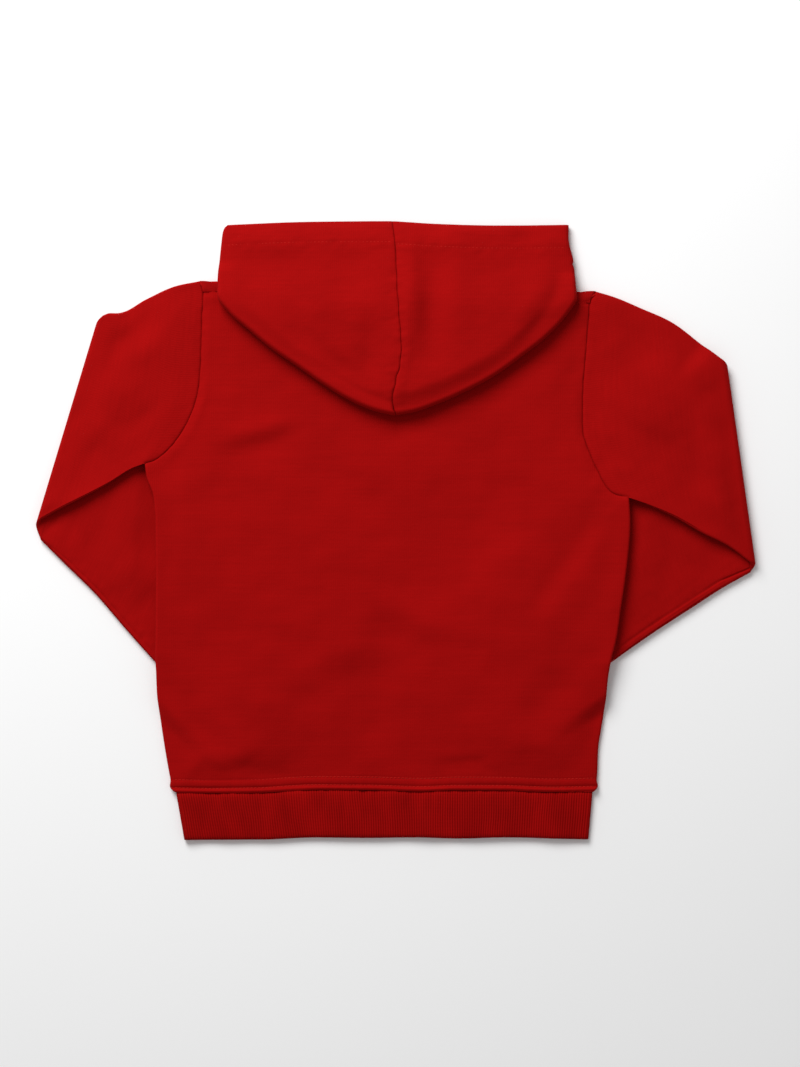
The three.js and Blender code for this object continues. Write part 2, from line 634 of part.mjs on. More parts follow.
function cuff(side) {
  const { sewn, free, away } = cuffs[side];
  const start = (share) => between(sewn[0], sewn[1], share).addScaledVector(away, SEAM);
  const end = (share) => between(free[0], free[1], share);
  return ribbedBand(start, end, sewn[0].distanceTo(sewn[1]));
}

// Underside of the hood's lower layer: on the back, and beyond the shoulder down to the floor
function bed(x, y) {
  return HOOD_REST * (1 - ease((y - bodyTop(x) - BED_MARGIN) / BED_RAMP));
}
const hoodSeamX = (y) => along(HOOD_SEAM, "y", y, "x");
const HOOD_SIDE_ROWS = HOOD_ROWS.slice(0, 6).reverse(); // the rows that end at its side edges

// Middle of the hood's visible layer
function hoodHeight(x, y) {
  const side = x < 0 ? "left" : "right";
  const first = HOOD_ROWS[0];
  const topEdge = mix(first.seamY, first[`${side}Y`], Math.min(Math.abs(x / first[`${side}X`]), 1));
  const edgeX = Math.abs(along(HOOD_SIDE_ROWS, "seamY", y, `${side}X`));
  const fall = (distance, length) => clamp(1 - distance / length, 0, 1) ** 2;
  const toTop = fall(topEdge - y, HOOD_DROP_LENGTH);
  const beyond = 1 - bed(x, y) / HOOD_REST;
  const toSide = SIDE_DROP_SHARE * beyond * fall(edgeX - Math.abs(x), SIDE_DROP_LENGTH);
  const crown = HOOD_CROWN.rise * ease((HOOD_CROWN.endX - Math.abs(x)) / HOOD_CROWN.length);
  return HOOD_TOP + crown - HOOD_DROP * (1 - (1 - toTop) * (1 - toSide));
}

// One half of the hood: the visible layer from the centre seam, the rolled edge, and the lower layer back
// to the neck
function hoodHalf(side) {
  const sign = signOf(side);
  const rim = HOOD_ROWS.map((row) => plan(row[`${side}X`], row[`${side}Y`]));
  const grid = (offset) =>
    HOOD_ROWS.map((row, i) => {
      const onSeam = i === HOOD_ROWS.length - 1;
      const run = rim[Math.min(i + 1, rim.length - 1)].clone().sub(rim[Math.max(i - 1, 0)]).normalize();
      const outward = onSeam ? plan(0, -1) : plan(run.y * -sign, run.x * sign).negate();
      const axis = rim[i].clone().addScaledVector(outward, -HOOD_ROLL);
      const start = plan(hoodSeamX(row.seamY), row.seamY);
      const line = [];
      const high = (p) => {
        const inside = ease((rim[i].distanceTo(p) - HOOD_ROLL) / CREASES_FROM_ROLL);
        return hoodHeight(p.x, p.y) + creases("hood", p.x, p.y) * inside;
      };
      for (let c = 0; c <= HOOD_ACROSS; c++) {
        const share = c / HOOD_ACROSS;
        const p = between(start, axis, share);
        if (i === 0) p.y += HOOD_EDGE_BULGE[side] * Math.sin(Math.PI * share);
        if (onSeam) p.x = hoodSeamX(p.y);
        line.push(new THREE.Vector3(p.x, p.y, high(p) + offset));
      }
      const top = high(axis);
      const bottom = bed(axis.x, axis.y) + CLOTH / 2;
      const [middle, rise] = [(top + bottom) / 2, (top - bottom) / 2];
      for (let c = 1; c < HOOD_ROLL_STEPS; c++) {
        const angle = (Math.PI * c) / HOOD_ROLL_STEPS;
        const p = axis.clone().addScaledVector(outward, (HOOD_ROLL - CLOTH / 2 + offset) * Math.sin(angle));
        line.push(new THREE.Vector3(p.x, p.y, middle + (rise + offset) * Math.cos(angle)));
      }
      const neck = plan(row.neckX * sign, row[side === "left" ? "neckLeftY" : "neckRightY"]);
      for (let c = 0; c <= HOOD_UNDER_STEPS; c++) {
        const p = between(axis, neck, c / HOOD_UNDER_STEPS);
        line.push(new THREE.Vector3(p.x, p.y, bed(p.x, p.y) + CLOTH / 2 - offset));
      }
      line.forEach((p, c) => {
        if (c === 0 || onSeam) p.x += (sign * SEAM) / 2;
      });
      return line;
    });
  return wall(grid(CLOTH / 2), grid(-CLOTH / 2), false);
}

// The hood's hidden cloth, bunched in the neck: from the front neckline, under the back neckline and up under
// the visible layer. Its sides have grooves between the layers.
const BUNCH = {
  thin: CLOTH + 0.1, // height under the back neckline
  fromFront: 2.2, // gap to the front neckline
  fromShoulder: 1.8, // gap to the shoulder's edge beside the neck, growing outwards by a slant
  slant: 0.12,
  sideLength: 3.6, // length of the thin part there
  pastBackNeck: 0.8, // the thin part reaches this far past the back neckline
  lowAt: 4.5, // its rise to full height: a place and share of the height, and the place of the whole
  lowShare: 0.78,
  fullAt: 12,
  topY: 237, // the far edge, drawn in at its corners and a little lower than the middle
  corner: 9,
  cornerPower: 6,
  endShare: 0.94,
};
const BUNCH_COLUMNS = [110, 98, 87, 77.5, 73, 67, 58, 47, 33, 17]; // distances from the middle
const BESIDE_NECK = NECK_HALF - 2; // columns past this start at the shoulder
const GROOVE = 0.8;
const LAYERS = table(["rise", "inset"], [
  [0, 0.4], [0.3, 0], [0.38, GROOVE], [0.46, 0], [0.68, 0.1], [0.76, GROOVE], [0.84, 0.2],
]);
const LID_INSET = 1.1;
function hiddenFolds() {
  const columns = [...BUNCH_COLUMNS.map((x) => -x), 0, ...BUNCH_COLUMNS.slice().reverse()];
  return layeredSolid(columns.map((x) => {
    const past = Math.abs(x) > BESIDE_NECK;
    const slant = BUNCH.slant * Math.max(Math.abs(x) - NECK_HALF, 0);
    const start = past ? shoulderEdge(x) + BUNCH.fromShoulder + slant : frontNeck(x) + BUNCH.fromFront;
    const step = past ? start + BUNCH.sideLength : backNeck(x) + BUNCH.pastBackNeck;
    const end = BUNCH.topY - BUNCH.corner * Math.abs(x / BUNCH_COLUMNS[0]) ** BUNCH.cornerPower;
    const full = (y) => hoodHeight(x, y) + creases("hood", x, y) - CLOTH / 2 - FOLDS_CLEAR;
    const [low, high] = [step + BUNCH.lowAt, step + BUNCH.fullAt];
    const halfway = (high + end) / 2;
    return [
      { x, y: start, height: BUNCH.thin },
      { x, y: (start + step) / 2, height: BUNCH.thin },
      { x, y: step, height: BUNCH.thin },
      { x, y: low, height: full(low) * BUNCH.lowShare },
      { x, y: high, height: full(high) },
      { x, y: halfway, height: full(halfway) },
      { x, y: end, height: full(end) * BUNCH.endShare },
    ];
  }));
}

// A solid over a grid of spots, with a flat underside and layered sides
function layeredSolid(spots) {
  const [columns, rows] = [spots.length, spots[0].length];
  const loop = [];
  for (let c = 0; c < columns; c++) loop.push([c, 0]);
  for (let r = 1; r < rows; r++) loop.push([columns - 1, r]);
  for (let c = columns - 2; c >= 0; c--) loop.push([c, rows - 1]);
  for (let r = rows - 2; r > 0; r--) loop.push([0, r]);
  const centre = plan(0, 0);
  loop.forEach(([c, r]) => centre.add(plan(spots[c][r].x, spots[c][r].y).divideScalar(loop.length)));
  const inward = (spot, inset) => {
    const p = plan(spot.x, spot.y);
    return p.add(centre.clone().sub(p).setLength(inset));
  };
  const points = [];
  const faces = [];
  const put = (p, z) => points.push(new THREE.Vector3(p.x, p.y, z)) - 1;
  const onLoop = new Map(loop.map(([c, r], i) => [`${c} ${r}`, i]));
  const atLoop = (spot, layer) => put(inward(spot, layer.inset), spot.height * layer.rise);
  const rings = LAYERS.map((layer) => loop.map(([c, r]) => atLoop(spots[c][r], layer)));
  const cap = (edgePoint, height) =>
    spots.map((column, c) =>
      column.map((spot, r) => {
        const edge = onLoop.get(`${c} ${r}`);
        return edge === undefined ? put(plan(spot.x, spot.y), height(spot)) : edgePoint(edge, spot);
      }),
    );
  const bottom = cap((edge) => rings[0][edge], () => 0);
  const lid = cap((_, spot) => put(inward(spot, LID_INSET), spot.height), (spot) => spot.height);
  rings.push(loop.map(([c, r]) => lid[c][r]));
  for (let k = 0; k + 1 < rings.length; k++) {
    loop.forEach((_, i) => {
      const j = (i + 1) % loop.length;
      const [a, b, d, e] = [rings[k][i], rings[k][j], rings[k + 1][j], rings[k + 1][i]];
      faces.push([a, b, d], [a, d, e]);
    });
  }
  for (let c = 0; c + 1 < columns; c++) {
    for (let r = 0; r + 1 < rows; r++) {
      const quad = (at) => [at[c][r], at[c + 1][r], at[c + 1][r + 1], at[c][r + 1]];
      const [a, b, d, e] = quad(lid);
      faces.push([a, b, d], [a, d, e]);
      const [f, g, h, i] = quad(bottom);
      faces.push([f, h, g], [f, i, h]);
    }
  }
  return body(points, faces);
}

const fleece = new THREE.MeshStandardMaterial({ color: FLEECE_RED, roughness: 0.95, metalness: 0 });
const rib = new THREE.MeshStandardMaterial({ color: RIB_RED, roughness: 0.95, metalness: 0 });

const hoodie = new THREE.Group();
function piece(name, geometry, material) {
  const mesh = new THREE.Mesh(geometry, material.clone());
  mesh.name = name;
  hoodie.add(mesh);
}

piece("front", frontPanel(), fleece);
piece("back", backPanel(), fleece);
for (const side of ["left", "right"]) {
  piece(`sleeve_${side}`, sleeve(side), fleece);
  piece(`cuff_${side}`, cuff(side), rib);
  piece(`hood_${side}`, hoodHalf(side), fleece);
}
piece("hood_hidden_folds", hiddenFolds(), fleece);
piece("waistband", waistband(), rib);

// The origin is under the middle of the garment
const middle = new THREE.Box3().setFromObject(hoodie).getCenter(new THREE.Vector3());
hoodie.position.set(-middle.x, -middle.y, 0);

export default hoodie;
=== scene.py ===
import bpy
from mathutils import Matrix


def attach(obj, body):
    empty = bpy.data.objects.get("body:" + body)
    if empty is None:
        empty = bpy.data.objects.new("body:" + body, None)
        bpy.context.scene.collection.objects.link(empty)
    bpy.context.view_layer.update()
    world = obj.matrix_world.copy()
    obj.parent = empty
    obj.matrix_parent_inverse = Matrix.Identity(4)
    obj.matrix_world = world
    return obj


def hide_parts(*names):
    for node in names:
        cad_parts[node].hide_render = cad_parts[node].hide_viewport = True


bl_info = {
    "name": "Child's hoodie laid face down",
    "version": (1, 0, 0),
    "blender": (4, 5, 0),
    "location": "View3D > Sidebar > Hoodie",
    "description": "Sews a child's hooded sweatshirt round its packed solids, laid flat",
    "category": "Object",
}

import bpy
import numpy as np
from mathutils import Vector

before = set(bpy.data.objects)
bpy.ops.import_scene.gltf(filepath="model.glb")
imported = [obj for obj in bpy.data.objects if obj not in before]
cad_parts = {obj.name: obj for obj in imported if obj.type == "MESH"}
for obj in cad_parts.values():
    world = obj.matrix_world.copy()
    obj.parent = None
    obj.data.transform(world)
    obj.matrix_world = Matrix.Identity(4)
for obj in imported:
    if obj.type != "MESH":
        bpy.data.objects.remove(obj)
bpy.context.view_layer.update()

# Millimetres, +X to the wearer's right, +Y towards the hood, +Z up. The frame's origin is under the middle
# of the garment.
MM = 0.001
TO_FRAME = np.array([0.069, -0.1, 0])

# Cloth and how it is layered
CLOTH = 2
PLY_GAP = 0.6
SEAM = 0.3  # gap between two solids at a seam
OUTER = CLOTH + PLY_GAP / 2  # from the middle between two plies to their outsides
INNER = PLY_GAP / 2
MIDDLE = (OUTER + INNER) / 2
BEND = 2.6  # radius of a sleeve's turn under
UNDER = 2 * BEND
DEEPEST_DIP = 1.3  # of a forearm's upper layer, before it meets the layer under it
LIFT_MARGIN = 16  # a ply stays lifted this far beyond a forearm's edge
LIFT_RAMP = 14  # and comes down over this length

# Neck and shoulders: the body's top edge seen from the back
SHOULDER = {"left": 199.6, "right": 190.4, "neck_left": 202, "neck_right": 198}
NECK_FROM = 0.25  # share of the body's width on each side of the open neck
NECK_HALF = 78
BACK_NECK_Y = 188
FRONT_NECK_Y = 150
BACK_NECK_CURVE = 2
FRONT_NECK_CURVE = 2.6
SEAM_DOWN = 8.8  # from the shoulder's fold down to the shoulder seam, which lies on the back
NECK_BELOW_SEAM = 1
NECK_SCALED_FROM = 60  # rows above this y are drawn down where the neck is open
EVEN_FROM = 45  # rows even out over this distance from the body's sides

# Hood: it rests on the back at this height, and its edges are rolled
HOOD_REST = 2 * OUTER + SEAM
HOOD_ROLL = 3.6
HOOD_LOFT = 5.2  # from the middle of the lower layer up to that of the visible one
HOOD_TOP = HOOD_REST + CLOTH / 2 + HOOD_LOFT
HOOD_CROWN = {"rise": 0.9, "end_x": 150, "length": 60}
HOOD_DROP = 5.2  # how far the visible layer falls at the opening, and a share of it at the sides
HOOD_DROP_LENGTH = 24
SIDE_DROP_SHARE = 0.754
SIDE_DROP_LENGTH = 26
BED_MARGIN = 6  # the lower layer starts to come down to the floor this far beyond the body's top edge
BED_RAMP = 10
CREASES_FROM_ROLL = 14  # creases grow to their full height over this distance from the roll
HOOD_PUFF = {"height": 6.5, "from": 22, "length": 50}  # soft loft of the visible layer over its solid
HOOD_RIM_FURROW = {"at": 11, "width": 4, "left": 1.25, "right": 0.1, "below_y": 146, "fade": 30}
HOOD_CORNER = {"left": 8, "right": 0}  # down from the opening's ends, the edge is rounded over this length
LEAST_ROLL = 0.1
RIM_ROLL = {"left": {"drop": 1.6, "width": 11}, "right": {"drop": 3.6, "width": 15}}
RIM_ROLL_START = {"below_y": 192, "fade": 24}
HOOD_RIGHT_NOTCH = {"at_y": 213, "width": 1.6, "depth": 1.1}
HOOD_HEM_STEP = {"height": 0.2, "width": 2}
HOOD_HEM_GROOVE = {"depth": 0.15, "width": 1.1}
HOOD_HEM_PUCKER = {"longer": 1.4, "from_edge": 6}
HOOD_HEM_FROM_EDGE = 4

# Grid steps of the sewn pieces. Beside a seam the rows lie closer.
ROW_STEP = 2
COLUMN_STEP = 2
BODY_COLUMN_STEP = 2.2
UNDERSIDE_STEP = 4
ROLL_STEPS = 6
TURN_STEPS = 12
SHORTEST = 1e-6  # keeps lengths of 0 out of divisions
SEAM_ROWS = np.array([0, 0.35, 0.8, 1.3])
LIP_ROWS = np.arange(0, 14.5, 0.6)
SEWN = -0.1  # edges that are sewn together overlap by twice this much, so that nothing shows between them
SIDE_APART = 0.02  # the least height of a ply's edge over the middle between two plies

SEEDS = {
    "back": 11, "armhole": 23, "shoulder": 26, "hem": 31, "hood": 43, "hood_hem": 46, "hood_seam": 50,
    "sleeve_left": 57, "underarm_left": 62, "forearm_left": 66,
    "sleeve_right": 71, "underarm_right": 76, "forearm_right": 80,
    "band": 83, "cuff": 93, "folds": 97,
}


def table(columns, rows):
    """Columns of numbers by name."""
    return {name: np.array([row[i] for row in rows], float) for i, name in enumerate(columns)}


# The body's sides from the hem to just below the armpits
SIDES = table(["left_x", "left_y", "right_x", "right_y"], [
    [-178.4, -209.6, 159.2, -209.6],
    [-180.6, -199.2, 160.8, -199.2],
    [-185.6, -171.2, 162.4, -171.2],
    [-188.7, -150, 165.2, -154],
    [-190.8, -132, 167.8, -136],
    [-191.5, -115, 169.1, -120],
    [-192, -97.6, 171.4, -104.3],
    [-191.8, -78, 175.8, -86.4],
    [-191.6, -56, 179.2, -63.9],
    [-191.4, -30.4, 182.6, -41.4],
    [-191.9, -8, 185.3, -19],
    [-192.3, 14.7, 186.8, -1],
    [-194.2, 30.4, 187, 10],
    [-198.6, 41.6, 186.6, 19],
    [-200.5, 54, 186, 27],
])

# The armholes from the shoulder's edge down to the armpit
ARMHOLES = table(["left_x", "left_y", "right_x", "right_y"], [
    [-157.1, 200.2, 159.8, 192],
    [-154.8, 191, 155.2, 182],
    [-155.3, 172, 154.5, 172],
    [-156, 149.6, 152.2, 142.7],
    [-157.1, 122.4, 150, 115.8],
    [-159.4, 106.8, 149.6, 93.3],
    [-163.8, 93.3, 150.4, 75.4],
    [-170.6, 79.8, 153.4, 66.4],
    [-181.8, 65.2, 160.1, 50.6],
    [-195.2, 55.2, 174.7, 29.3],
    [-200.5, 54, 186, 27],
])

# Each upper sleeve from beside the armhole to its fold, and how much of the armhole's curve a section keeps
UPPER_SLEEVES = {
    "left": table(["top_x", "top_y", "low_x", "low_y", "curve"], [
        [-177.3, 196, -211, 49.6, 0.6],
        [-199.8, 185.8, -230, 37.5, 0.3],
        [-222.2, 174.2, -250, 26.7, 0.1],
        [-230.5, 173.8, -267.1, 18.1, 0],
    ]),
    "right": table(["top_x", "top_y", "low_x", "low_y", "curve"], [
        [175, 187.4, 201, 20.8, 0.6],
        [196, 178.6, 222, 11.2, 0.3],
        [220.7, 167.4, 244, -1.5, 0.1],
        [246, 148.4, 265, -11.9, 0],
    ]),
}

# Each fold's ends on the upper sleeve, and on the forearm below
FOLDS_UNDER = {
    "left": {"upper": [(-238.9, 173.6), (-288.2, 10.6)], "under": [(-238.8, 163), (-289.8, -7)]},
    "right": {"upper": [(264.2, 139), (287.4, -24)], "under": [(265.6, 131), (289, -34)]},
}
FOREARM_EDGES = {
    "left": [(-264.9, -26.8), (-242.4, -48.8), (-215.4, -79.9), (-191.2, -107)],
    "right": [(262, -45.4), (238, -60.9), (205, -82.4), (170.9, -106.4)],
}
CUFF_SEAMS = {
    "left": {"top": (-106, -76.5), "low": (-165, -130.5), "wider": 3.4},
    "right": {"top": (101, -61), "low": (144.5, -121.5), "wider": 3},
}
CUFF_LENGTH = 45

# The hood's rows from its opening edge to its tip
HOOD_COLUMNS = ["seam_y", "left_x", "left_y", "right_x", "right_y", "neck_x", "neck_left_y", "neck_right_y"]
HOOD_ROWS = table(HOOD_COLUMNS, [
    [247.6, -138.2, 245, 138.4, 244.8, 122, 240, 240],
    [238, -139.9, 230, 138.6, 231, 121.5, 227, 226],
    [229, -141.3, 216, 142, 217, 121, 214, 212],
    [220, -142.5, 202, 143.4, 201, 116, 208, 203.5],
    [215, -142.6, 194.5, 144, 193, 111, 206.5, 201],
    [211, -142.7, 187.5, 144.5, 185.5, 104, 205.5, 199],
    [203, -133.4, 174, 137, 173, 92, 202, 197],
    [195, -118, 160.5, 120, 154.5, 78, 197, 191],
    [187, -100, 145.6, 100, 138.8, 65, 193.5, 189],
    [179, -78, 130.5, 79, 123.8, 52, 190, 187.6],
    [171, -55.5, 115, 56, 111.3, 38, 188, 187],
    [163, -33, 102, 32.8, 101, 25, 187, 187],
    [156, -15, 95, 14, 94.6, 12, 187, 187],
    [149, -0.9, 92, -0.9, 92, 0, 187, 187],
])
HOOD_SIDE_ROWS = 6  # rows down to where the hood's side turns towards its tip
HOOD_SEAM = table(["y", "x"], [
    [92, -0.9], [99, -2.4], [110, -2.2], [117, -0.2], [122.6, 0.4], [129, 3.0], [135, 3.4], [144, 4.6],
    [153, 4.0], [162, 3.6], [171, 2.5], [181, 2.2], [191.5, 1.1], [202, 0.9], [212, 0.2], [222, 0],
    [232, -0.9], [248, -3],
])
HOOD_EDGE_BULGE = {"left": 1, "right": -2}
HOOD_HEM = {"left": 17, "right": 18.5}  # depth of the hem at the opening

BAND = {"top_left": -176.2, "top_right": 157.6, "low_left": -169.6, "low_right": 154.2}

# The wavy lower edges of the body and of the waistband, from side to side
HEM_EDGE = table(["share", "y"], [
    [0, -209.6], [0.09, -210], [0.2, -209.6], [0.37, -207.2], [0.48, -207.5], [0.59, -208.6], [0.68, -207.6],
    [0.79, -207.7], [0.91, -209], [1, -208.4],
])
BAND_EDGE = table(["share", "y"], [
    [0, -247.4], [0.2, -247], [0.34, -245.4], [0.46, -245.7], [0.57, -245.3], [0.68, -246.2], [0.8, -245.3],
    [0.92, -246.2], [1, -246.9],
])

# Folds and creases: centre, direction in degrees, length, width on each side of the crease's line,
# height (a trough is below 0) and the bend of its line at its ends
CREASE_COLUMNS = ["on", "x", "y", "angle", "length", "width", "far_width", "height", "bend"]
CREASE_ROWS = [
    # across the back, as shown
    ["body", -107, 69, 13, 80, 9, 15, -1.6, 3],
    ["body", -111, 80, 13, 66, 7, 10, 0.9, 3],
    ["body", 147, -34, 56, 130, 12, 17, 1.7, -4],
    ["body", 132, -30, 54, 100, 10, 12, -0.8, -3],
    ["body", 10, -87, -22, 100, 16, 20, -1.5, 4],
    ["body", 16, -70, -22, 84, 10, 14, 0.7, 4],
    ["body", -44, -121, 22, 115, 15, 19, -1.4, -5],
    ["body", -50, -103, 20, 90, 10, 16, 0.6, -4],
    ["body", 124, -135, 60, 60, 16, 22, -1.5, 0],
    ["body", -154, -160, -45, 55, 10, 14, -1.3, 5],
    ["body", -113, -192, -14, 70, 6, 9, -1.1, 3],
    ["body", -172, 3, 90, 100, 9, 14, 1.4, 2],
    ["body", -184, 4, 90, 90, 6, 8, -0.8, 2],
    ["body", 55, -186, 7, 44, 5, 8, -0.9, 2],
    ["body", 72, -190, -32, 22, 4, 6, -0.6, 0],
    ["body", -20, 20, 70, 150, 30, 30, 0.7, 0],
    ["body", 80, 45, -62, 120, 22, 26, -0.7, 6],
    ["body", 150, 150, 64, 34, 5, 7, -0.6, 0],
    ["body", 141, 128, 40, 26, 4, 6, -0.5, 0],
    ["body", -142, 150, -50, 30, 5, 6, -0.5, 0],
    # down the hood
    ["hood", 12, 191, 90, 105, 8, 8, 2.0, 1],
    ["hood", 29, 177, 88, 84, 9, 13, -1.9, -2],
    ["hood", 45, 182, 86, 84, 9, 12, 0.7, -2],
    ["hood", -61, 144, -43, 84, 9, 13, -2.5, 4],
    ["hood", -20, 148, 86, 58, 9, 13, -1.3, 2],
    ["hood", -75, 157, -43, 74, 10, 16, 0.9, 4],
    ["hood", -30, 205, 80, 60, 14, 18, -0.6, 3],
    ["hood", 121, 175, 60, 84, 8, 11, -1.6, 2],
    ["hood", 108, 182, 60, 70, 9, 12, 0.7, 2],
    ["hood", 84, 205, 30, 70, 12, 16, -0.6, 4],
    ["hood", 85, 231, 4, 64, 6, 9, -0.8, 2],
    ["hood", -104, 213, -12, 60, 10, 14, -0.6, 3],
    # on the upper sleeves
    ["sleeve_left", -209, 161, 41, 62, 8, 12, -1.5, 3],
    ["sleeve_left", -226, 150, 78, 46, 8, 10, -1.1, 2],
    ["sleeve_left", -200, 146, 40, 50, 9, 12, 0.8, 3],
    ["sleeve_left", -232, 96, 70, 70, 12, 14, 0.9, 3],
    ["sleeve_left", -205, 88, 25, 54, 9, 12, -1.0, 3],
    ["sleeve_left", -247, 52, 62, 56, 10, 12, -0.9, 2],
    ["sleeve_right", 196, 150, -52, 52, 8, 11, -1.3, 2],
    ["sleeve_right", 214, 110, -68, 84, 12, 15, 0.9, 4],
    ["sleeve_right", 196, 76, -30, 56, 8, 12, -1.2, 3],
    ["sleeve_right", 240, 62, -70, 70, 11, 13, -0.9, 3],
    ["sleeve_right", 176, 60, -48, 30, 6, 8, -0.8, 0],
    ["sleeve_right", 262, 28, 98, 140, 18, 12, 2.4, 0],
    # on the forearms
    ["forearm_left", -211, 22, 88, 170, 22, 10, 2.0, 0],
    ["forearm_left", -277, 4, 52, 20, 2, 4, -1.2, 0],
    ["forearm_left", -262, -6, 62, 34, 5, 7, -0.9, 1],
    ["forearm_left", -240, -4, 55, 60, 9, 12, -1.0, 2],
    ["forearm_left", -220, -36, 46, 50, 8, 10, 0.8, 2],
    ["forearm_left", -206, -62, 48, 46, 7, 9, -0.8, 2],
    ["forearm_right", 204, 6, 82, 130, 10, 20, 1.6, 0],
    ["forearm_right", 236, -28, -32, 60, 8, 11, -0.9, 2],
    ["forearm_right", 214, -52, -34, 50, 6, 8, 0.6, 2],
]
CREASE_ENDS = 1.3  # a crease fades out at this many times half its length
CREASES_BY = 1.4  # every crease is this many times as high as its row says

# Soft swell of the back panel, away from its edges and from the hood
BODY_SWELL = 1.5
SWELL_FROM_EDGE = 34
HOOD_CLEAR = 10
SWELL_FROM_HOOD = 26


# Shares, lines and distances in plan


def ease(share):
    """0 to 1 with a soft start and end."""
    share = np.clip(share, 0, 1)
    return share * share * (3 - 2 * share)


def mix(a, b, share):
    """From a at share 0 to b at share 1."""
    return a + (b - a) * share


def sign_of(side):
    """-1 on the wearer's left, where x is below 0, and 1 on the right."""
    return -1 if side == "left" else 1


def ridge(distance, at, width):
    """Share of a soft ridge's height: 1 at one distance, falling off over a width on both sides of it."""
    return np.exp(-(((distance - at) / width) ** 2))


def line_of(rows, side):
    """Plan points of one side of a table."""
    return np.stack([rows[side + "_x"], rows[side + "_y"]], axis=1)


def unit(runs):
    """Directions of length 1."""
    return runs / np.maximum(np.linalg.norm(runs, axis=-1, keepdims=True), SHORTEST)


def run_along(points):
    """Length along a run of points up to each of them."""
    return np.concatenate([[0], np.cumsum(np.linalg.norm(np.diff(points, axis=0), axis=1))])


def through(points, places):
    """A smooth curve through points, read at fractional row numbers."""
    points = np.asarray(points, float)
    steps = np.diff(points, axis=0)
    lengths = np.maximum(np.linalg.norm(steps, axis=1, keepdims=True), SHORTEST)
    slopes = steps / lengths
    inner = (slopes[:-1] * lengths[1:] + slopes[1:] * lengths[:-1]) / (lengths[:-1] + lengths[1:])
    tangents = np.vstack([slopes[:1], inner, slopes[-1:]])
    i = np.clip(np.asarray(places).astype(int), 0, len(points) - 2)
    t = (np.asarray(places, float) - i)[:, None]
    start = points[i] * (1 - t) ** 2 * (1 + 2 * t) + tangents[i] * lengths[i] * t * (1 - t) ** 2
    return start + points[i + 1] * t * t * (3 - 2 * t) - tangents[i + 1] * lengths[i] * t * t * (1 - t)


def even_places(lines, step):
    """Fractional row numbers an even step apart along the mean of some lines."""
    run = np.mean([run_along(line) for line in lines], axis=0)
    count = max(int(round(run[-1] / step)), 1)
    return np.interp(np.linspace(0, run[-1], count + 1), run, np.arange(len(run)))


def beside_seam(places, step, distances):
    """Even places whose first ones are replaced by closer ones, at these distances from a seam."""
    at = np.arange(len(places)) * step
    kept = at[at > distances[-1]]
    return np.interp(np.concatenate([distances, kept]), at, places)


def distance_to_line(line, x, y, closed=False):
    """Distance of plan points to a run of straight segments."""
    line = np.asarray(line, float)
    ends = np.roll(line, -1, axis=0) if closed else line[1:]
    nearest = np.full(np.shape(x), np.inf)
    for a, b in zip(line if closed else line[:-1], ends):
        run = b - a
        along = ((x - a[0]) * run[0] + (y - a[1]) * run[1]) / max(run @ run, SHORTEST)
        along = np.clip(along, 0, 1)
        nearest = np.minimum(nearest, np.hypot(x - a[0] - run[0] * along, y - a[1] - run[1] * along))
    return nearest


def distance_outside(outline, x, y):
    """Distance of plan points outside a closed outline, 0 inside it."""
    inside = np.zeros(np.shape(x), bool)
    outline = np.asarray(outline, float)
    for a, b in zip(outline, np.roll(outline, -1, axis=0)):
        if a[1] != b[1]:
            crosses = ((a[1] > y) != (b[1] > y)) & (x < a[0] + (b[0] - a[0]) * (y - a[1]) / (b[1] - a[1]))
            inside ^= crosses
    return np.where(inside, 0, distance_to_line(outline, x, y, closed=True))


def creases(on, x, y):
    """Sum of the listed folds and creases of one piece."""
    total = np.zeros(np.shape(x))
    for row in CREASE_ROWS:
        crease = dict(zip(CREASE_COLUMNS, row))
        if crease["on"] != on:
            continue
        angle = np.radians(crease["angle"])
        dx, dy = x - crease["x"], y - crease["y"]
        reach = (dx * np.cos(angle) + dy * np.sin(angle)) / (crease["length"] / 2)
        across = dy * np.cos(angle) - dx * np.sin(angle) - crease["bend"] * reach * reach
        width = np.where(across > 0, crease["width"], crease["far_width"])
        height = CREASES_BY * crease["height"] * np.exp(-((across / width) ** 2))
        total += height * ease(CREASE_ENDS - np.abs(reach))
    return total


RIPPLE_WAVES = 14
RIPPLE_SPREAD = (0.7, 1.5)  # shortest and longest wave, as shares of the wavelength


def ripples(x, y, wavelength, seed):
    """Soft unevenness between about -1 and 1: waves of nearby lengths in seeded directions."""
    random = np.random.default_rng(seed)
    total = np.zeros(np.shape(x))
    for _ in range(RIPPLE_WAVES):
        direction = random.uniform(0, 2 * np.pi)
        count = 2 * np.pi / (wavelength * random.uniform(*RIPPLE_SPREAD))
        start = random.uniform(0, 2 * np.pi)
        total += np.cos((x * np.cos(direction) + y * np.sin(direction)) * count + start)
    return total / np.sqrt(RIPPLE_WAVES * 2)


# Unevenness of soft sweatshirt cloth that lies loose: wavelength and height
LOOSE = table(["wavelength", "height"], [[95, 0.75], [42, 0.42], [17, 0.13], [7, 0.035]])

# Seams: the puckers beside them, the dip and the crack at their line, and the allowance that pads one side
PUCKER = {"wavelength": 8, "height": 0.28, "reach": 7}
SEAM_DIP = {"depth": 0.6, "reach": 1.4}
SEAM_CRACK = {"depth": 1.1, "reach": 0.4}
SEAM_PAD = {"height": 0.35, "at": 5.5, "width": 3.2}


def looseness(x, y, seed):
    """Soft unevenness of cloth that lies loose."""
    total = np.zeros(np.shape(x))
    for i, (wavelength, height) in enumerate(zip(LOOSE["wavelength"], LOOSE["height"])):
        total += height * ripples(x, y, wavelength, seed + i)
    return total


def puckers(x, y, seed, longer=1):
    """Small puckers of the cloth beside a seam."""
    return PUCKER["height"] * ripples(x, y, PUCKER["wavelength"] * longer, seed)


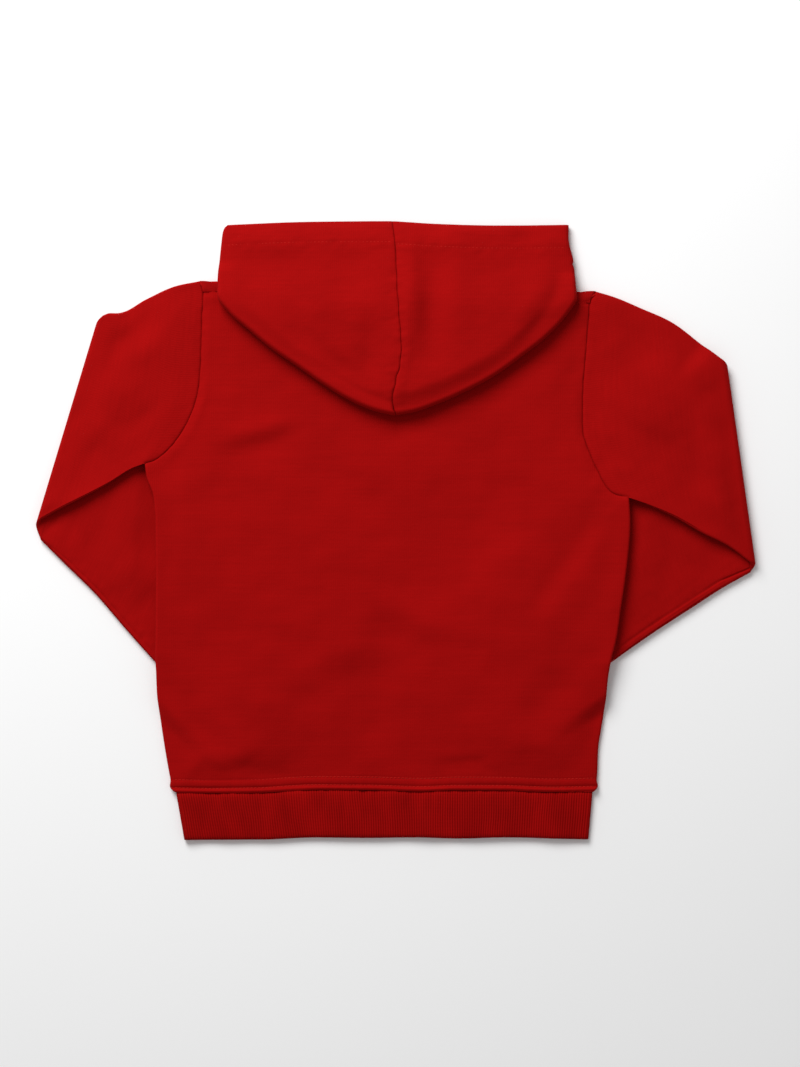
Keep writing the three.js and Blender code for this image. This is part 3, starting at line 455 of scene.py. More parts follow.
def seam_relief(distance, x, y, seed, pad=True):
    """A seam drawn down between two pieces, with small puckers, and the allowance padding one side."""
    dip = sum(-form["depth"] * np.exp(-distance / form["reach"]) for form in (SEAM_DIP, SEAM_CRACK))
    pucker = puckers(x, y, seed) * np.exp(-distance / PUCKER["reach"])
    padding = SEAM_PAD["height"] * ridge(distance, SEAM_PAD["at"], SEAM_PAD["width"])
    return dip + pucker + (padding if pad else 0)


armhole = {side: line_of(ARMHOLES, side) for side in ("left", "right")}
body_side = {side: line_of(SIDES, side) for side in ("left", "right")}
armhole_run = {side: through(line, even_places([line], ROW_STEP)) for side, line in armhole.items()}


def forearm_edges(side):
    """The forearm's two edges from the fold to the cuff's seam."""
    fold, seam = FOLDS_UNDER[side]["under"], CUFF_SEAMS[side]
    top, low = np.array(seam["top"], float), np.array(seam["low"], float)
    wider = unit(top - low) * seam["wider"]
    lows = np.array([fold[1], *FOREARM_EDGES[side], low - wider])
    shares = np.linspace(0, 1, len(lows))[:, None]
    return mix(np.array(fold[0], float), top + wider, shares), lows


def cuff_plan(side):
    """The cuff's sewn line and free end, each from the top edge to the lower one."""
    seam = CUFF_SEAMS[side]
    sewn = np.array([seam["top"], seam["low"]], float)
    run = unit(sewn[1] - sewn[0])
    away = np.array([-run[1], run[0]]) * -sign_of(side)
    return sewn, sewn + away * CUFF_LENGTH, away


def forearm_outline(side):
    """Plan outline of a forearm with its cuff."""
    tops, lows = forearm_edges(side)
    return np.vstack([tops, cuff_plan(side)[1], lows[::-1]])


# Air under the open edge that lies over each forearm
EDGE_AIR = {"height": 4.2, "reach": 20, "from_fold": 34}
OVER_FOREARM_FROM = 6  # the row of SIDES where the forearm comes out from under the body

FOREARM_OUTLINES = [forearm_outline("left"), forearm_outline("right")]
BODY_OUTLINE = np.vstack([
    body_side["left"], armhole["left"][::-1], armhole["right"], body_side["right"][::-1],
])
HOOD_OUTLINE = np.vstack([line_of(HOOD_ROWS, "left"), line_of(HOOD_ROWS, "right")[::-1]])


def open_edge(side):
    """The edge that lies over a forearm: the body's side, then the upper sleeve's lower edge to the fold."""
    return np.vstack([body_side[side][OVER_FOREARM_FROM:], line_of(UPPER_SLEEVES[side], "low"),
                      np.array(FOLDS_UNDER[side]["upper"][1:], float)])


def from_forearms(x, y):
    """Distance of plan points from the nearer forearm."""
    return np.minimum(*[distance_outside(outline, x, y) for outline in FOREARM_OUTLINES])


def lift(x, y):
    """Height that a ply is lifted where it lies on a forearm, with some more air under its open edge."""
    on_forearm = ease(1 - (from_forearms(x, y) - LIFT_MARGIN) / LIFT_RAMP)
    air = np.zeros(np.shape(x))
    for side in ("left", "right"):
        fold = np.array(FOLDS_UNDER[side]["upper"], float)
        near_edge = np.exp(-distance_to_line(OPEN_EDGES[side], x, y) / EDGE_AIR["reach"])
        air += EDGE_AIR["height"] * near_edge * ease(distance_to_line(fold, x, y) / EDGE_AIR["from_fold"])
    return on_forearm * (UNDER + air)


# The upper cloth spans the hollows beside the forearms more loosely than the lower one, away from its edges
SOFT_LIFT = {"margin": 12, "ramp": 62, "from_edge": 45}


def soft_lift(x, y):
    """Height that the upper cloth is lifted over the forearms."""
    loose = UNDER * ease(1 - (from_forearms(x, y) - SOFT_LIFT["margin"]) / SOFT_LIFT["ramp"])
    inside = ease(distance_to_line(UPPER_OUTLINE, x, y, closed=True) / SOFT_LIFT["from_edge"])
    return mix(lift(x, y), loose, inside)


OPEN_EDGES = {side: open_edge(side) for side in ("left", "right")}


def upper_half(side):
    """Outline of the body and the upper sleeve on one side, from the hem to the shoulder."""
    upper, fold = UPPER_SLEEVES[side], np.array(FOLDS_UNDER[side]["upper"], float)
    return np.vstack([body_side[side], line_of(upper, "low"), fold[::-1], line_of(upper, "top")[::-1],
                      armhole[side][:1]])


UPPER_OUTLINE = np.vstack([upper_half("left"), upper_half("right")[::-1]])


def shoulder_edge(x):
    """Top edge of the garment laid flat, at the shoulders' folds and across the neck."""
    neck = mix(SHOULDER["neck_left"], SHOULDER["neck_right"], (x + NECK_HALF) / (2 * NECK_HALF))
    out = np.clip((np.abs(x) - NECK_HALF) / (armhole["right"][0, 0] - NECK_HALF), 0, 1)
    left = mix(SHOULDER["neck_left"], SHOULDER["left"], out)
    right = mix(SHOULDER["neck_right"], SHOULDER["right"], out)
    return np.where(np.abs(x) < NECK_HALF, neck, np.where(x < 0, left, right))


def neck_edge(x, middle, drop, power):
    """A neckline from its middle up to below the shoulder's edge."""
    return mix(middle, shoulder_edge(x) - drop, np.minimum(np.abs(x) / NECK_HALF, 1) ** power)


def back_neck(x):
    return neck_edge(x, BACK_NECK_Y, SEAM_DOWN + NECK_BELOW_SEAM, BACK_NECK_CURVE)


def front_neck(x):
    return neck_edge(x, FRONT_NECK_Y, OUTER, FRONT_NECK_CURVE)


def body_top(x):
    """Where the back's cloth ends under the hood."""
    return np.where(np.abs(x) < NECK_HALF, neck_edge(x, BACK_NECK_Y, 0, BACK_NECK_CURVE), shoulder_edge(x))


def wavy_edge(edge, share):
    """An edge's y from its table, smoothly, at shares of its width."""
    share = np.asarray(share, float)
    places = np.interp(share, edge["share"], np.arange(len(edge["share"])))
    return through(np.stack([edge["share"], edge["y"]], 1), np.ravel(places))[:, 1].reshape(share.shape)


def hem_line(share):
    return wavy_edge(HEM_EDGE, share)


# Two rows of stitches run above the waistband. The lower one draws a furrow above a plump lip over the
# seam, and between the rows the seam allowance makes the cloth thicker.
HEM_ROWS = {"low": 4.0, "high": 10.6}
HEM_LIP = {"at": 1.9, "width": 1.5, "height": 1.4}
HEM_FURROW = {"at": 4.1, "width": 0.9, "height": -0.6}
HEM_STRIP = {"at": 7.4, "width": 2.8, "height": 0.5}
HEM_UPPER_GROOVE = {"at": 10.6, "width": 0.9, "height": -0.3}
HEM_CORNER = {"inset": 3, "length": 3.6}
HEM_BULGE = {"at": 5, "width": 3.2, "height": 1.7}
HEM_GATHERS = {"reach": 16, "stretch": 0.2}


def hem_relief(above):
    """The lip, the furrows and the thick strip above the waistband."""
    forms = (HEM_LIP, HEM_FURROW, HEM_STRIP, HEM_UPPER_GROOVE)
    return sum(form["height"] * ridge(above, form["at"], form["width"]) for form in forms)


def back_relief(x, y):
    """Everything that raises or lowers the back panel: its swell, folds, seams and looseness."""
    from_edge = distance_to_line(BODY_OUTLINE, x, y, closed=True)
    inside = ease(from_edge / SWELL_FROM_EDGE)
    outside_hood = distance_outside(HOOD_OUTLINE, x, y)
    clear = ease((outside_hood - HOOD_CLEAR) / SWELL_FROM_HOOD)
    loose = looseness(x, y, SEEDS["back"]) * ease(outside_hood / HOOD_CLEAR)
    relief = inside * clear * (BODY_SWELL + creases("body", x, y))
    relief += loose * ease(from_edge / PUCKER["reach"])
    for side in ("left", "right"):
        relief += seam_relief(distance_to_line(armhole_run[side], x, y), x, y, SEEDS["armhole"])
    share = (x - BODY_OUTLINE[0, 0]) / (BODY_OUTLINE[-1, 0] - BODY_OUTLINE[0, 0])
    above = y - hem_line(np.clip(share, 0, 1))
    gathers = puckers(x, y * HEM_GATHERS["stretch"], SEEDS["hem"])
    relief += hem_relief(above) + gathers * ease(1 - above / HEM_GATHERS["reach"])
    from_shoulder_seam = np.abs(y - shoulder_edge(x) + SEAM_DOWN)
    return relief + seam_relief(from_shoulder_seam, x, y, SEEDS["shoulder"]) * (np.abs(x) > NECK_HALF)


# Meshes


def mesh_piece(name, points, faces, cloth, material):
    """A smooth-shaded mesh that stands for a node, with the cloth's own flat coordinates as a UV map."""
    mesh = bpy.data.meshes.new(name)
    mesh.from_pydata(((points + TO_FRAME) * MM).tolist(), [], faces.tolist())
    mesh.validate()
    mesh.polygons.foreach_set("use_smooth", np.ones(len(mesh.polygons), bool))
    corners = np.empty(len(mesh.loops), int)
    mesh.loops.foreach_get("vertex_index", corners)
    mesh.uv_layers.new(name="cloth").data.foreach_set("uv", (cloth[corners] * MM).ravel())
    mesh.materials.append(material)
    mesh.update()
    made = bpy.data.objects.new(name, mesh)
    bpy.context.collection.objects.link(made)
    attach(made, "root")
    return made


def grid_quads(rows, columns, closed, base=0, flip=False):
    """Faces of a grid of points. A closed grid's columns run right round."""
    i, j = np.meshgrid(np.arange(rows - 1), np.arange(columns if closed else columns - 1), indexing="ij")
    after = (j + 1) % columns
    row, above = i * columns, (i + 1) * columns
    quads = np.stack([row + j, row + after, above + after, above + j], -1).reshape(-1, 4) + base
    return quads[:, ::-1] if flip else quads


def rim_quads(outer, inner):
    """Faces between an outer and an inner run of points."""
    return np.stack([outer[1:], outer[:-1], inner[:-1], inner[1:]], -1)


def wall_faces(rows, columns, closed):
    """Faces of a wall between two grids of the same size, the outer one first."""
    count = rows * columns
    at = np.arange(count).reshape(rows, columns)
    faces = [grid_quads(rows, columns, closed), grid_quads(rows, columns, closed, count, True)]
    first, last = at[0], at[-1]
    if closed:
        first, last = np.append(first, first[0]), np.append(last, last[0])
    faces.append(rim_quads(first, first + count))
    faces.append(rim_quads(last[::-1], last[::-1] + count))
    if not closed:
        faces.append(rim_quads(at[::-1, 0], at[::-1, 0] + count))
        faces.append(rim_quads(at[:, -1], at[:, -1] + count))
    return np.vstack(faces)


def wall_piece(name, grid, closed, material, cloth=None, sides=(OUTER, INNER)):
    """A cloth wall: grid(height) gives its points on the outer and the inner side of the cloth."""
    outer, inner = (grid(height) for height in sides)
    rows, columns = outer.shape[:2]
    faces = wall_faces(rows, columns, closed)
    points = np.vstack([outer.reshape(-1, 3), inner.reshape(-1, 3)])
    cloth = outer[..., :2] if cloth is None else cloth
    flat = np.vstack([cloth.reshape(-1, 2)] * 2)
    if signed_volume(points, faces) < 0:
        faces = faces[:, ::-1]
    return mesh_piece(name, points, faces, flat, material)


def signed_volume(points, faces):
    """Below 0 where the faces look inwards."""
    a, b, c, d = (points[faces[:, k]] for k in range(4))
    return np.sum(np.einsum("ij,ij->i", a, np.cross(b, c)) + np.einsum("ij,ij->i", a, np.cross(c, d)))


# Body: the back and front panels


def hem_corner(above):
    """How far the body's side stands in at its rounded lower corner, with the bulging allowance above it."""
    rounded = 1 - np.sqrt(1 - np.clip(1 - above / HEM_CORNER["length"], 0, 1) ** 2)
    bulging = ridge(above, HEM_BULGE["at"], HEM_BULGE["width"])
    return HEM_CORNER["inset"] * rounded - HEM_BULGE["height"] * bulging


def body_rows():
    """Fine rows of a body panel from the hem up: both ends and the angle at which their edge starts."""
    side_places = even_places(list(body_side.values()), ROW_STEP)
    arm = {side: line[::-1] for side, line in armhole.items()}
    arm_places = even_places(list(arm.values()), ROW_STEP)[1:]
    side_places = beside_seam(side_places, ROW_STEP, LIP_ROWS)
    arm_places = beside_seam(arm_places[::-1], ROW_STEP, SEAM_ROWS)[::-1]
    ends = {}
    for side in ("left", "right"):
        arms = through(arm[side], arm_places)
        arms[:, 0] -= sign_of(side) * SEWN
        sides = through(body_side[side], side_places)
        sides[:, 0] -= sign_of(side) * hem_corner(sides[:, 1] - sides[0, 1])
        ends[side] = np.vstack([sides, arms])
    from_pit = np.linalg.norm(ends["left"][len(side_places):] - body_side["left"][-1], axis=1)
    start = np.concatenate([np.zeros(len(side_places)), np.clip(from_pit / OUTER, 0, 1)]) * np.pi / 2
    return ends["left"], ends["right"], start


NECK_COLUMNS = 4  # the columns are a multiple of this, so that one falls on each end of the neck


def body_columns(step):
    """Shares of the roll at an edge, and of the way across, for a body panel's columns."""
    width = body_side["right"][0, 0] - body_side["left"][0, 0]
    count = int(width / step / NECK_COLUMNS) * NECK_COLUMNS
    across = np.linspace(0, 1, count + 1)
    roll = np.arange(ROLL_STEPS) / ROLL_STEPS
    edge = np.concatenate([roll, np.ones(count + 1), roll[::-1]])
    across = np.concatenate([np.zeros(ROLL_STEPS), across, np.ones(ROLL_STEPS)])
    return edge, across


def panel_places(half, step):
    """Plan places, height and level (1 away from the rolled edges) of a body panel's surface."""
    left, right, start = body_rows()
    edge, across = body_columns(step)
    angle = mix(start[:, None], np.pi / 2, edge[None, :])
    flat = (start / (np.pi / 2))[:, None]
    inset = (OUTER - half * np.cos(angle)) * (1 - flat) + OUTER * edge[None, :] * flat
    run = unit(right - left)[:, None, :]
    low = left[:, None, :] + run * inset[..., None]
    high = right[:, None, :] - run * inset[..., None]
    point = mix(low, high, across[None, :, None])
    from_edge = np.minimum(np.linalg.norm(point - low, axis=2), np.linalg.norm(point - high, axis=2))
    x, y = point[..., 0], point[..., 1]
    hem = hem_line(across)[None, :]
    run = run_along(left + right)
    rise = (run / run[-1])[:, None]
    evenly = mix(hem, shoulder_edge(x) - SEAM_DOWN, rise)
    y = mix(y, evenly, ease(from_edge / EVEN_FROM))
    y[0] = hem[0]
    least = np.where(start[:, None] == 0, SIDE_APART, 0)
    return x, y, np.maximum(half * np.sin(angle), least), np.sin(angle), across


def above_neck_start(y, across, whole, neckline):
    """Rows above the neck's start are drawn down to the neckline where the neck is open."""
    scaled = mix(NECK_SCALED_FROM, neckline, (y - NECK_SCALED_FROM) / (whole - NECK_SCALED_FROM))
    is_open = (across > NECK_FROM) & (across < 1 - NECK_FROM) & (y >= NECK_SCALED_FROM)
    return np.where(is_open, scaled, y)


def back_grid(half):
    """The back panel's surface, up to the neck and the shoulder seams."""
    x, y, height, level, across = panel_places(half, BODY_COLUMN_STEP)
    y = above_neck_start(y, across[None, :], shoulder_edge(x) - SEAM_DOWN, back_neck(x))
    y[-1] -= SEWN
    z = OUTER + soft_lift(x, y) + height + back_relief(x, y) * level
    return np.stack([x, y, z], -1)


# The front takes every second of the body's rows. Its wrap over the shoulder is a half turn, then rows that
# close up towards the shoulder seam.
FRONT_EVERY = 2
WRAP_STEPS = 10
WRAP_WHOLE = np.pi * MIDDLE + SEAM_DOWN - OUTER - SEWN
WRAP_ENDS = [0.3, 0.55, 0.72, 0.82, 0.89, 0.95, 1]


def front_grid(half):
    """The front lies flat, wraps over each shoulder and ends at the shoulder seam on the back side."""
    x, y, height, _, across = panel_places(half, UNDERSIDE_STEP)
    x, y, height = (part[::FRONT_EVERY] for part in (x, y, height))
    edge, _ = body_columns(UNDERSIDE_STEP)
    turns = np.linspace(0, np.pi, WRAP_STEPS + 1)
    past = mix(np.pi * MIDDLE, WRAP_WHOLE, np.array(WRAP_ENDS))
    wraps = np.concatenate([turns * MIDDLE, past])
    ends = {}
    for side in ("left", "right"):
        first, second = armhole[side][0], armhole[side][1]
        step = unit(second - first)
        inset = OUTER - half * np.sin(np.minimum(wraps / MIDDLE, np.pi))
        place = np.where((wraps > np.pi * MIDDLE)[:, None], second, first + step * inset[:, None])
        ends[side] = place[:, 0] - sign_of(side) * SEWN
    inward = OUTER * edge
    wrap_x = mix(ends["left"][:, None] + inward, ends["right"][:, None] - inward, across)
    wrap_y = shoulder_edge(wrap_x) - OUTER + wraps[:, None]
    x, y = np.vstack([x, wrap_x]), np.vstack([y, wrap_y])
    height = np.vstack([height, np.full(wrap_x.shape, half)])
    shoulder = shoulder_edge(x) - OUTER
    run = above_neck_start(y, across[None, :], shoulder + WRAP_WHOLE, front_neck(x))
    turn = np.clip((run - shoulder) / MIDDLE, 0, np.pi)
    beyond = np.maximum(run - shoulder - np.pi * MIDDLE, 0)
    on_floor = run <= shoulder
    flat_z = OUTER + lift(x, run) - height
    dip = seam_relief(np.abs(WRAP_WHOLE - (run - shoulder)), x, run, SEEDS["armhole"], pad=False)
    wrap_z = OUTER - height * np.cos(turn) + np.where(beyond > 0, dip, 0)
    wrap_y = shoulder + height * np.sin(turn) - beyond
    return np.stack([x, np.where(on_floor, run, wrap_y), np.where(on_floor, flat_z, wrap_z)], -1)


# Sleeves: flattened tubes, turned under at the fold
FOLD_CORNERS = {"left": (3, 1.5), "right": (2, 1.5)}  # how far a fold's upper and lower corners are rounded


def sleeve_sections(side):
    """Fine sections of a sleeve: both ends in plan, the turn under, and the kept curve of the armhole."""
    upper, fold = UPPER_SLEEVES[side], FOLDS_UNDER[side]
    fold_ends = np.array([fold["upper"], fold["under"]], float)
    outward = [fold_outward(side, ends) for ends in fold_ends]
    before = fold_ends[0] - outward[0] * (BEND + OUTER)
    tops = np.vstack([armhole[side][:1], line_of(upper, "top"), before[:1]])
    lows = np.vstack([armhole[side][-1:], line_of(upper, "low"), before[1:]])
    curve = np.concatenate([[1], upper["curve"], [0]])[:, None]
    places = beside_seam(even_places([tops, lows], ROW_STEP), ROW_STEP, SEAM_ROWS)
    sections = [(through(tops, places), through(lows, places), np.zeros(len(places)),
                 np.interp(places, np.arange(len(curve)), curve[:, 0]))]
    shares = np.linspace(0, 1, TURN_STEPS + 1)[1:]
    turned = mix(fold_ends[0][None], fold_ends[1][None], shares[:, None, None])
    along = unit(turned[:, 1] - turned[:, 0])
    retreat = (1 - np.cos(np.minimum(shares, 0.5) * np.pi))[:, None]
    turned[:, 0] += along * retreat * FOLD_CORNERS[side][0]
    turned[:, 1] -= along * retreat * FOLD_CORNERS[side][1]
    push = np.array([fold_outward(side, ends) for ends in turned]) * (BEND + OUTER)
    turned = turned - push[:, None, :]
    sections.append((turned[:, 0], turned[:, 1], shares * np.pi, np.zeros(TURN_STEPS)))
    tops, lows = forearm_edges(side)
    tops, lows = tops.copy(), lows.copy()
    tops[0], lows[0] = turned[-1]
    places = even_places([tops, lows], ROW_STEP)[1:]
    sections.append((through(tops, places), through(lows, places), np.full(len(places), np.pi),
                     np.zeros(len(places))))
    return [np.concatenate(part) for part in zip(*sections)]


def fold_outward(side, ends):
    """Direction in plan away from the garment, across a fold."""
    run = np.asarray(ends[1]) - np.asarray(ends[0])
    return unit(np.array([run[1], -run[0]])) * -sign_of(side)


def stadium(side, half):
    """The flattened tube round a sleeve's section: share across, inset at the rolled ends, height, level
    (1 above and -1 below) and girth."""
    line = armhole[side]
    whole = run_along(line)[-1]
    count = int(whole / COLUMN_STEP)
    squeeze = OUTER / whole
    flat = squeeze + np.linspace(0, 1, count + 1) * (1 - 2 * squeeze)
    beside = UNDERARM_GROOVE["fine_to"]
    near_seam = UNDERARM_SEAM[side] + np.arange(-beside, beside, FINEST_STEP)
    flat = np.union1d(flat, 1 - near_seam / whole)
    angles = np.linspace(np.pi / 2, -np.pi / 2, 2 * ROLL_STEPS + 1)[1:-1]
    share = np.concatenate([flat, np.ones(len(angles)), flat[::-1], np.zeros(len(angles))])
    inset = OUTER - half * np.cos(angles)
    even = np.ones(len(flat))
    inset = np.concatenate([0 * even, -inset, 0 * even, inset])
    height = np.concatenate([even, np.sin(angles), -even, -np.sin(angles)])
    girth = np.concatenate([flat * whole, np.full(len(angles), whole), (2 - flat[::-1]) * whole,
                            np.full(len(angles), 2 * whole)])
    return share, inset, height * half, height, girth


SLEEVE_SWELL = 1.5
SWELL_IN_SLEEVE = 30
UNDERARM_SEAM = {"left": 4, "right": 6}  # the forearm's seam inside its lower edge
UNDERARM_GROOVE = {"left": 0.35, "right": 0.95, "width": 0.75, "fine_to": 2.4}
FINEST_STEP = 0.5
FOREARM_LOOSE = {"share": 0.8, "from_edge": 9}
UNDERARM_PUCKER_FROM_EDGE = 4


def sleeve_grid(side, half):
    """A sleeve's tube: the upper sleeve, its turn under at the fold, and the forearm."""
    tops, lows, turn, curve = sleeve_sections(side)
    share, inset, height, level, _ = stadium(side, half)
    line = armhole[side]
    along = run_along(line)
    places = np.interp(share, along / along[-1], np.arange(len(line)))
    bow = through(line, places) - mix(line[0], line[-1], share[:, None])
    run = lows - tops
    point = tops[:, None, :] + run[:, None, :] * share[None, :, None]
    from_top = (share == 0)[:, None] * (unit(line[1] - line[0]) - unit(line[-1] - line[0]))
    lean = unit(run)[:, None, :] + from_top[None] * curve[:, None, None]
    point += lean * inset[None, :, None] + bow[None] * curve[:, None, None]
    point[0, :, 0] += sign_of(side) * SEWN
    outward = unit(np.stack([run[:, 1], -run[:, 0]], -1)) * -sign_of(side)
    turned = turn[:, None]
    is_fold = (turned > 0) & (turned < np.pi)
    push = np.where(turned > 0, (BEND + height) * np.sin(turned), 0)
    point += outward[:, None, :] * push[..., None]
    x, y = point[..., 0], point[..., 1]
    on_upper = mix(lift(x, y), soft_lift(x, y), (1 + level) / 2)
    relief = sleeve_relief(side, x, y, "sleeve") * np.maximum(level, 0)
    under_relief = np.maximum(sleeve_relief(side, x, y, "forearm"), -DEEPEST_DIP)
    under_relief *= np.maximum(-level, 0)
    upper_z = OUTER + on_upper + height + relief
    fold_z = OUTER + BEND + (BEND + height) * np.cos(turned)
    blend = np.abs(np.cos(turned))
    fold_z += blend * np.where(turned < np.pi / 2, relief, 0)
    lower_z = OUTER - height + under_relief
    z = np.where(turned == 0, upper_z, np.where(is_fold, fold_z, lower_z))
    return np.stack([x, y, z], -1)


def sleeve_relief(side, x, y, part):
    """Swell, folds, seams and looseness of the upper sleeve or of the forearm's upper face."""
    upper, fold = UPPER_SLEEVES[side], np.array(FOLDS_UNDER[side]["upper"], float)
    if part == "sleeve":
        top = np.vstack([armhole[side][:1], line_of(upper, "top"), fold[:1]])
        low = np.vstack([armhole[side][-1:], line_of(upper, "low"), fold[1:]])
        outline = np.vstack([top, low[::-1], armhole[side][::-1]])
        from_edge = distance_to_line(outline, x, y, closed=True)
        relief = ease(from_edge / SWELL_IN_SLEEVE) * (SLEEVE_SWELL + creases("sleeve_" + side, x, y))
        relief += looseness(x, y, SEEDS[part + "_" + side]) * ease(from_edge / PUCKER["reach"])
        seam = distance_to_line(armhole_run[side], x, y)
        return relief + seam_relief(seam, x, y, SEEDS[part + "_" + side], pad=False)
    tops, lows = forearm_edges(side)
    from_edge = distance_to_line(lows, x, y)
    inside = ease(from_edge / SWELL_IN_SLEEVE) * ease(distance_to_line(tops, x, y) / SWELL_IN_SLEEVE)
    groove = UNDERARM_GROOVE[side] * ridge(from_edge, UNDERARM_SEAM[side], UNDERARM_GROOVE["width"])
    groove *= ease(from_edge / UNDERARM_SEAM[side])
    pucker = puckers(x, y, SEEDS["underarm_" + side]) * ease(from_edge / UNDERARM_PUCKER_FROM_EDGE)
    pucker *= np.exp(-np.abs(from_edge - UNDERARM_SEAM[side]) / PUCKER["reach"])
    relief = inside * creases("forearm_" + side, x, y)
    relief += looseness(x, y, SEEDS["forearm_" + side]) * ease(from_edge / FOREARM_LOOSE["from_edge"])
    return relief * FOREARM_LOOSE["share"] - groove + pucker


def sleeve_cloth(side):
    """The sleeve's own flat coordinates: round its girth and along it."""
    tops, lows, _, _ = sleeve_sections(side)
    *_, girth = stadium(side, OUTER)
    run = run_along((tops + lows) / 2)
    return np.stack(np.broadcast_arrays(girth[None, :], run[:, None]), -1)


# Ribbed bands: 1 by 1 rib, each rib a rounded cord of stitches
RIB_COLUMNS = 6
RIB_ROWS = 14
RIB_UNDERSIDE_STEP = 3
RIB_UNEVEN = {"wavelength": 34, "height": 0.55, "stretch": 0.5}
RIB_PUCKER_STRETCH = 0.3
RIB_WANDER = 0.35
RIB_ROUNDNESS = 0.8  # power of a sine: below 1, a cord is rounder and its furrow narrower
RIB_INSIDE = 0.3  # share of a rib's height that shows on the band's inside
RIB_ENDS = {"share": 0.1, "least": 0.6}  # towards the band's ends the ribs are flatter
BAND_RECESS = {"depth": 1.1, "share": 0.07}
BAND_END = {"drop": 0.8, "share": 0.05}


def band_piece(name, start, end, width, node, seed):
    """A flattened ribbed tube between two plan lines, start(share) and end(share)."""
    pitch, height = settings().rib_pitch / MM, settings().rib_height / MM
    ribs = int(round(width / pitch))
    upper = np.linspace(0, 1, ribs * RIB_COLUMNS + 1)
    angles = np.linspace(np.pi / 2, -np.pi / 2, 2 * ROLL_STEPS + 1)[1:-1]
    lower = np.linspace(1, 0, int(width / RIB_UNDERSIDE_STEP) + 1)
    share = np.concatenate([upper, np.ones(len(angles)), lower, np.zeros(len(angles))])
    level = np.concatenate([np.ones(len(upper)), np.sin(angles), -np.ones(len(lower)), -np.sin(angles)])
    cosine = np.concatenate([np.zeros(len(upper)), np.cos(angles), np.zeros(len(lower)), np.cos(angles)])
    turned = np.where(share < 0.5, 1, -1)
    is_flat = np.abs(level) == 1
    cord = np.abs(np.sin(np.pi * share * ribs)) ** RIB_ROUNDNESS
    cord = np.where(is_flat & (level > 0), cord, 0.5)
    rows = np.linspace(0, 1, RIB_ROWS + 1)

    def grid(half):
        inset = np.where(is_flat, OUTER * (1 - 2 * share), (OUTER - half * cosine) * turned)
        run = unit(start(np.array([1.0])) - start(np.array([0.0])))
        first = start(share) + run * inset[:, None]
        last = end(share) + run * inset[:, None]
        point = mix(first[None], last[None], rows[:, None, None])
        x, y = point[..., 0], point[..., 1]
        wander = RIB_WANDER * ripples(x, y, RIB_UNEVEN["wavelength"], seed)
        point[..., 0] += np.where(is_flat, wander, 0)
        down = rows[:, None]
        uneven = ripples(x, y * RIB_UNEVEN["stretch"], RIB_UNEVEN["wavelength"], seed + 1)
        pucker = puckers(x, y * RIB_PUCKER_STRETCH, seed + 2)
        relief = RIB_UNEVEN["height"] * (1 + uneven) + pucker * (1 - down)
        relief -= BAND_RECESS["depth"] * np.exp(-down / BAND_RECESS["share"])
        relief -= BAND_END["drop"] * (1 - ease((1 - down) / BAND_END["share"]))
        at_end = ease(np.minimum(down, 1 - down) / RIB_ENDS["share"])
        raised = (cord[None, :] - 0.5) * height * mix(RIB_ENDS["least"], 1, at_end)
        raised = np.where(half == OUTER, raised, raised * RIB_INSIDE)
        z = OUTER + half * level[None, :] + np.maximum(level, 0)[None, :] * (raised + relief)
        return np.stack([point[..., 0], point[..., 1], z], -1)

    length = np.linalg.norm(end(np.array([0.5])) - start(np.array([0.5])))
    u = np.concatenate([upper * ribs * pitch, np.full(len(angles), ribs * pitch),
                        (2 - lower) * ribs * pitch, np.full(len(angles), 2 * ribs * pitch)])
    cloth = np.stack(np.broadcast_arrays(u[None, :], rows[:, None] * length), -1)
    return wall_piece(name, grid, True, rib_knit(node), cloth)


# Hood: two halves, each in one sheet from the centre seam round the rolled edge to the neck


def bed(x, y):
    """Underside of the hood's lower layer: on the back, and beyond the shoulder down to the floor."""
    return HOOD_REST * (1 - ease((y - body_top(x) - BED_MARGIN) / BED_RAMP))


def hood_seam_x(y):
    """Where the hood's centre seam runs."""
    places = np.interp(y, HOOD_SEAM["y"], np.arange(len(HOOD_SEAM["y"])))
    shape = np.shape(places)
    return through(np.stack([HOOD_SEAM["x"], HOOD_SEAM["y"]], 1), np.ravel(places))[:, 0].reshape(shape)


def hood_height(x, y):
    """Middle of the hood's visible layer."""
    toward = {}
    for side in ("left", "right"):
        edge_x, edge_y = HOOD_ROWS[side + "_x"], HOOD_ROWS[side + "_y"]
        top = mix(HOOD_ROWS["seam_y"][0], edge_y[0], np.clip(x / edge_x[0], 0, 1))
        rows = slice(HOOD_SIDE_ROWS - 1, None, -1)
        edge = np.abs(np.interp(y, HOOD_ROWS["seam_y"][rows], edge_x[rows]))
        toward[side] = (top, edge)
    top = np.where(x < 0, toward["left"][0], toward["right"][0])
    edge = np.where(x < 0, toward["left"][1], toward["right"][1])

    def fall(distance, length):
        return np.clip(1 - distance / length, 0, 1) ** 2

    to_top = fall(top - y, HOOD_DROP_LENGTH)
    to_side = SIDE_DROP_SHARE * (1 - bed(x, y) / HOOD_REST) * fall(edge - np.abs(x), SIDE_DROP_LENGTH)
    crown = HOOD_CROWN["rise"] * ease((HOOD_CROWN["end_x"] - np.abs(x)) / HOOD_CROWN["length"])
    puff = HOOD_PUFF["height"] * ease((top - y - HOOD_PUFF["from"]) / HOOD_PUFF["length"])
    return HOOD_TOP + crown + puff - HOOD_DROP * (1 - (1 - to_top) * (1 - to_side))


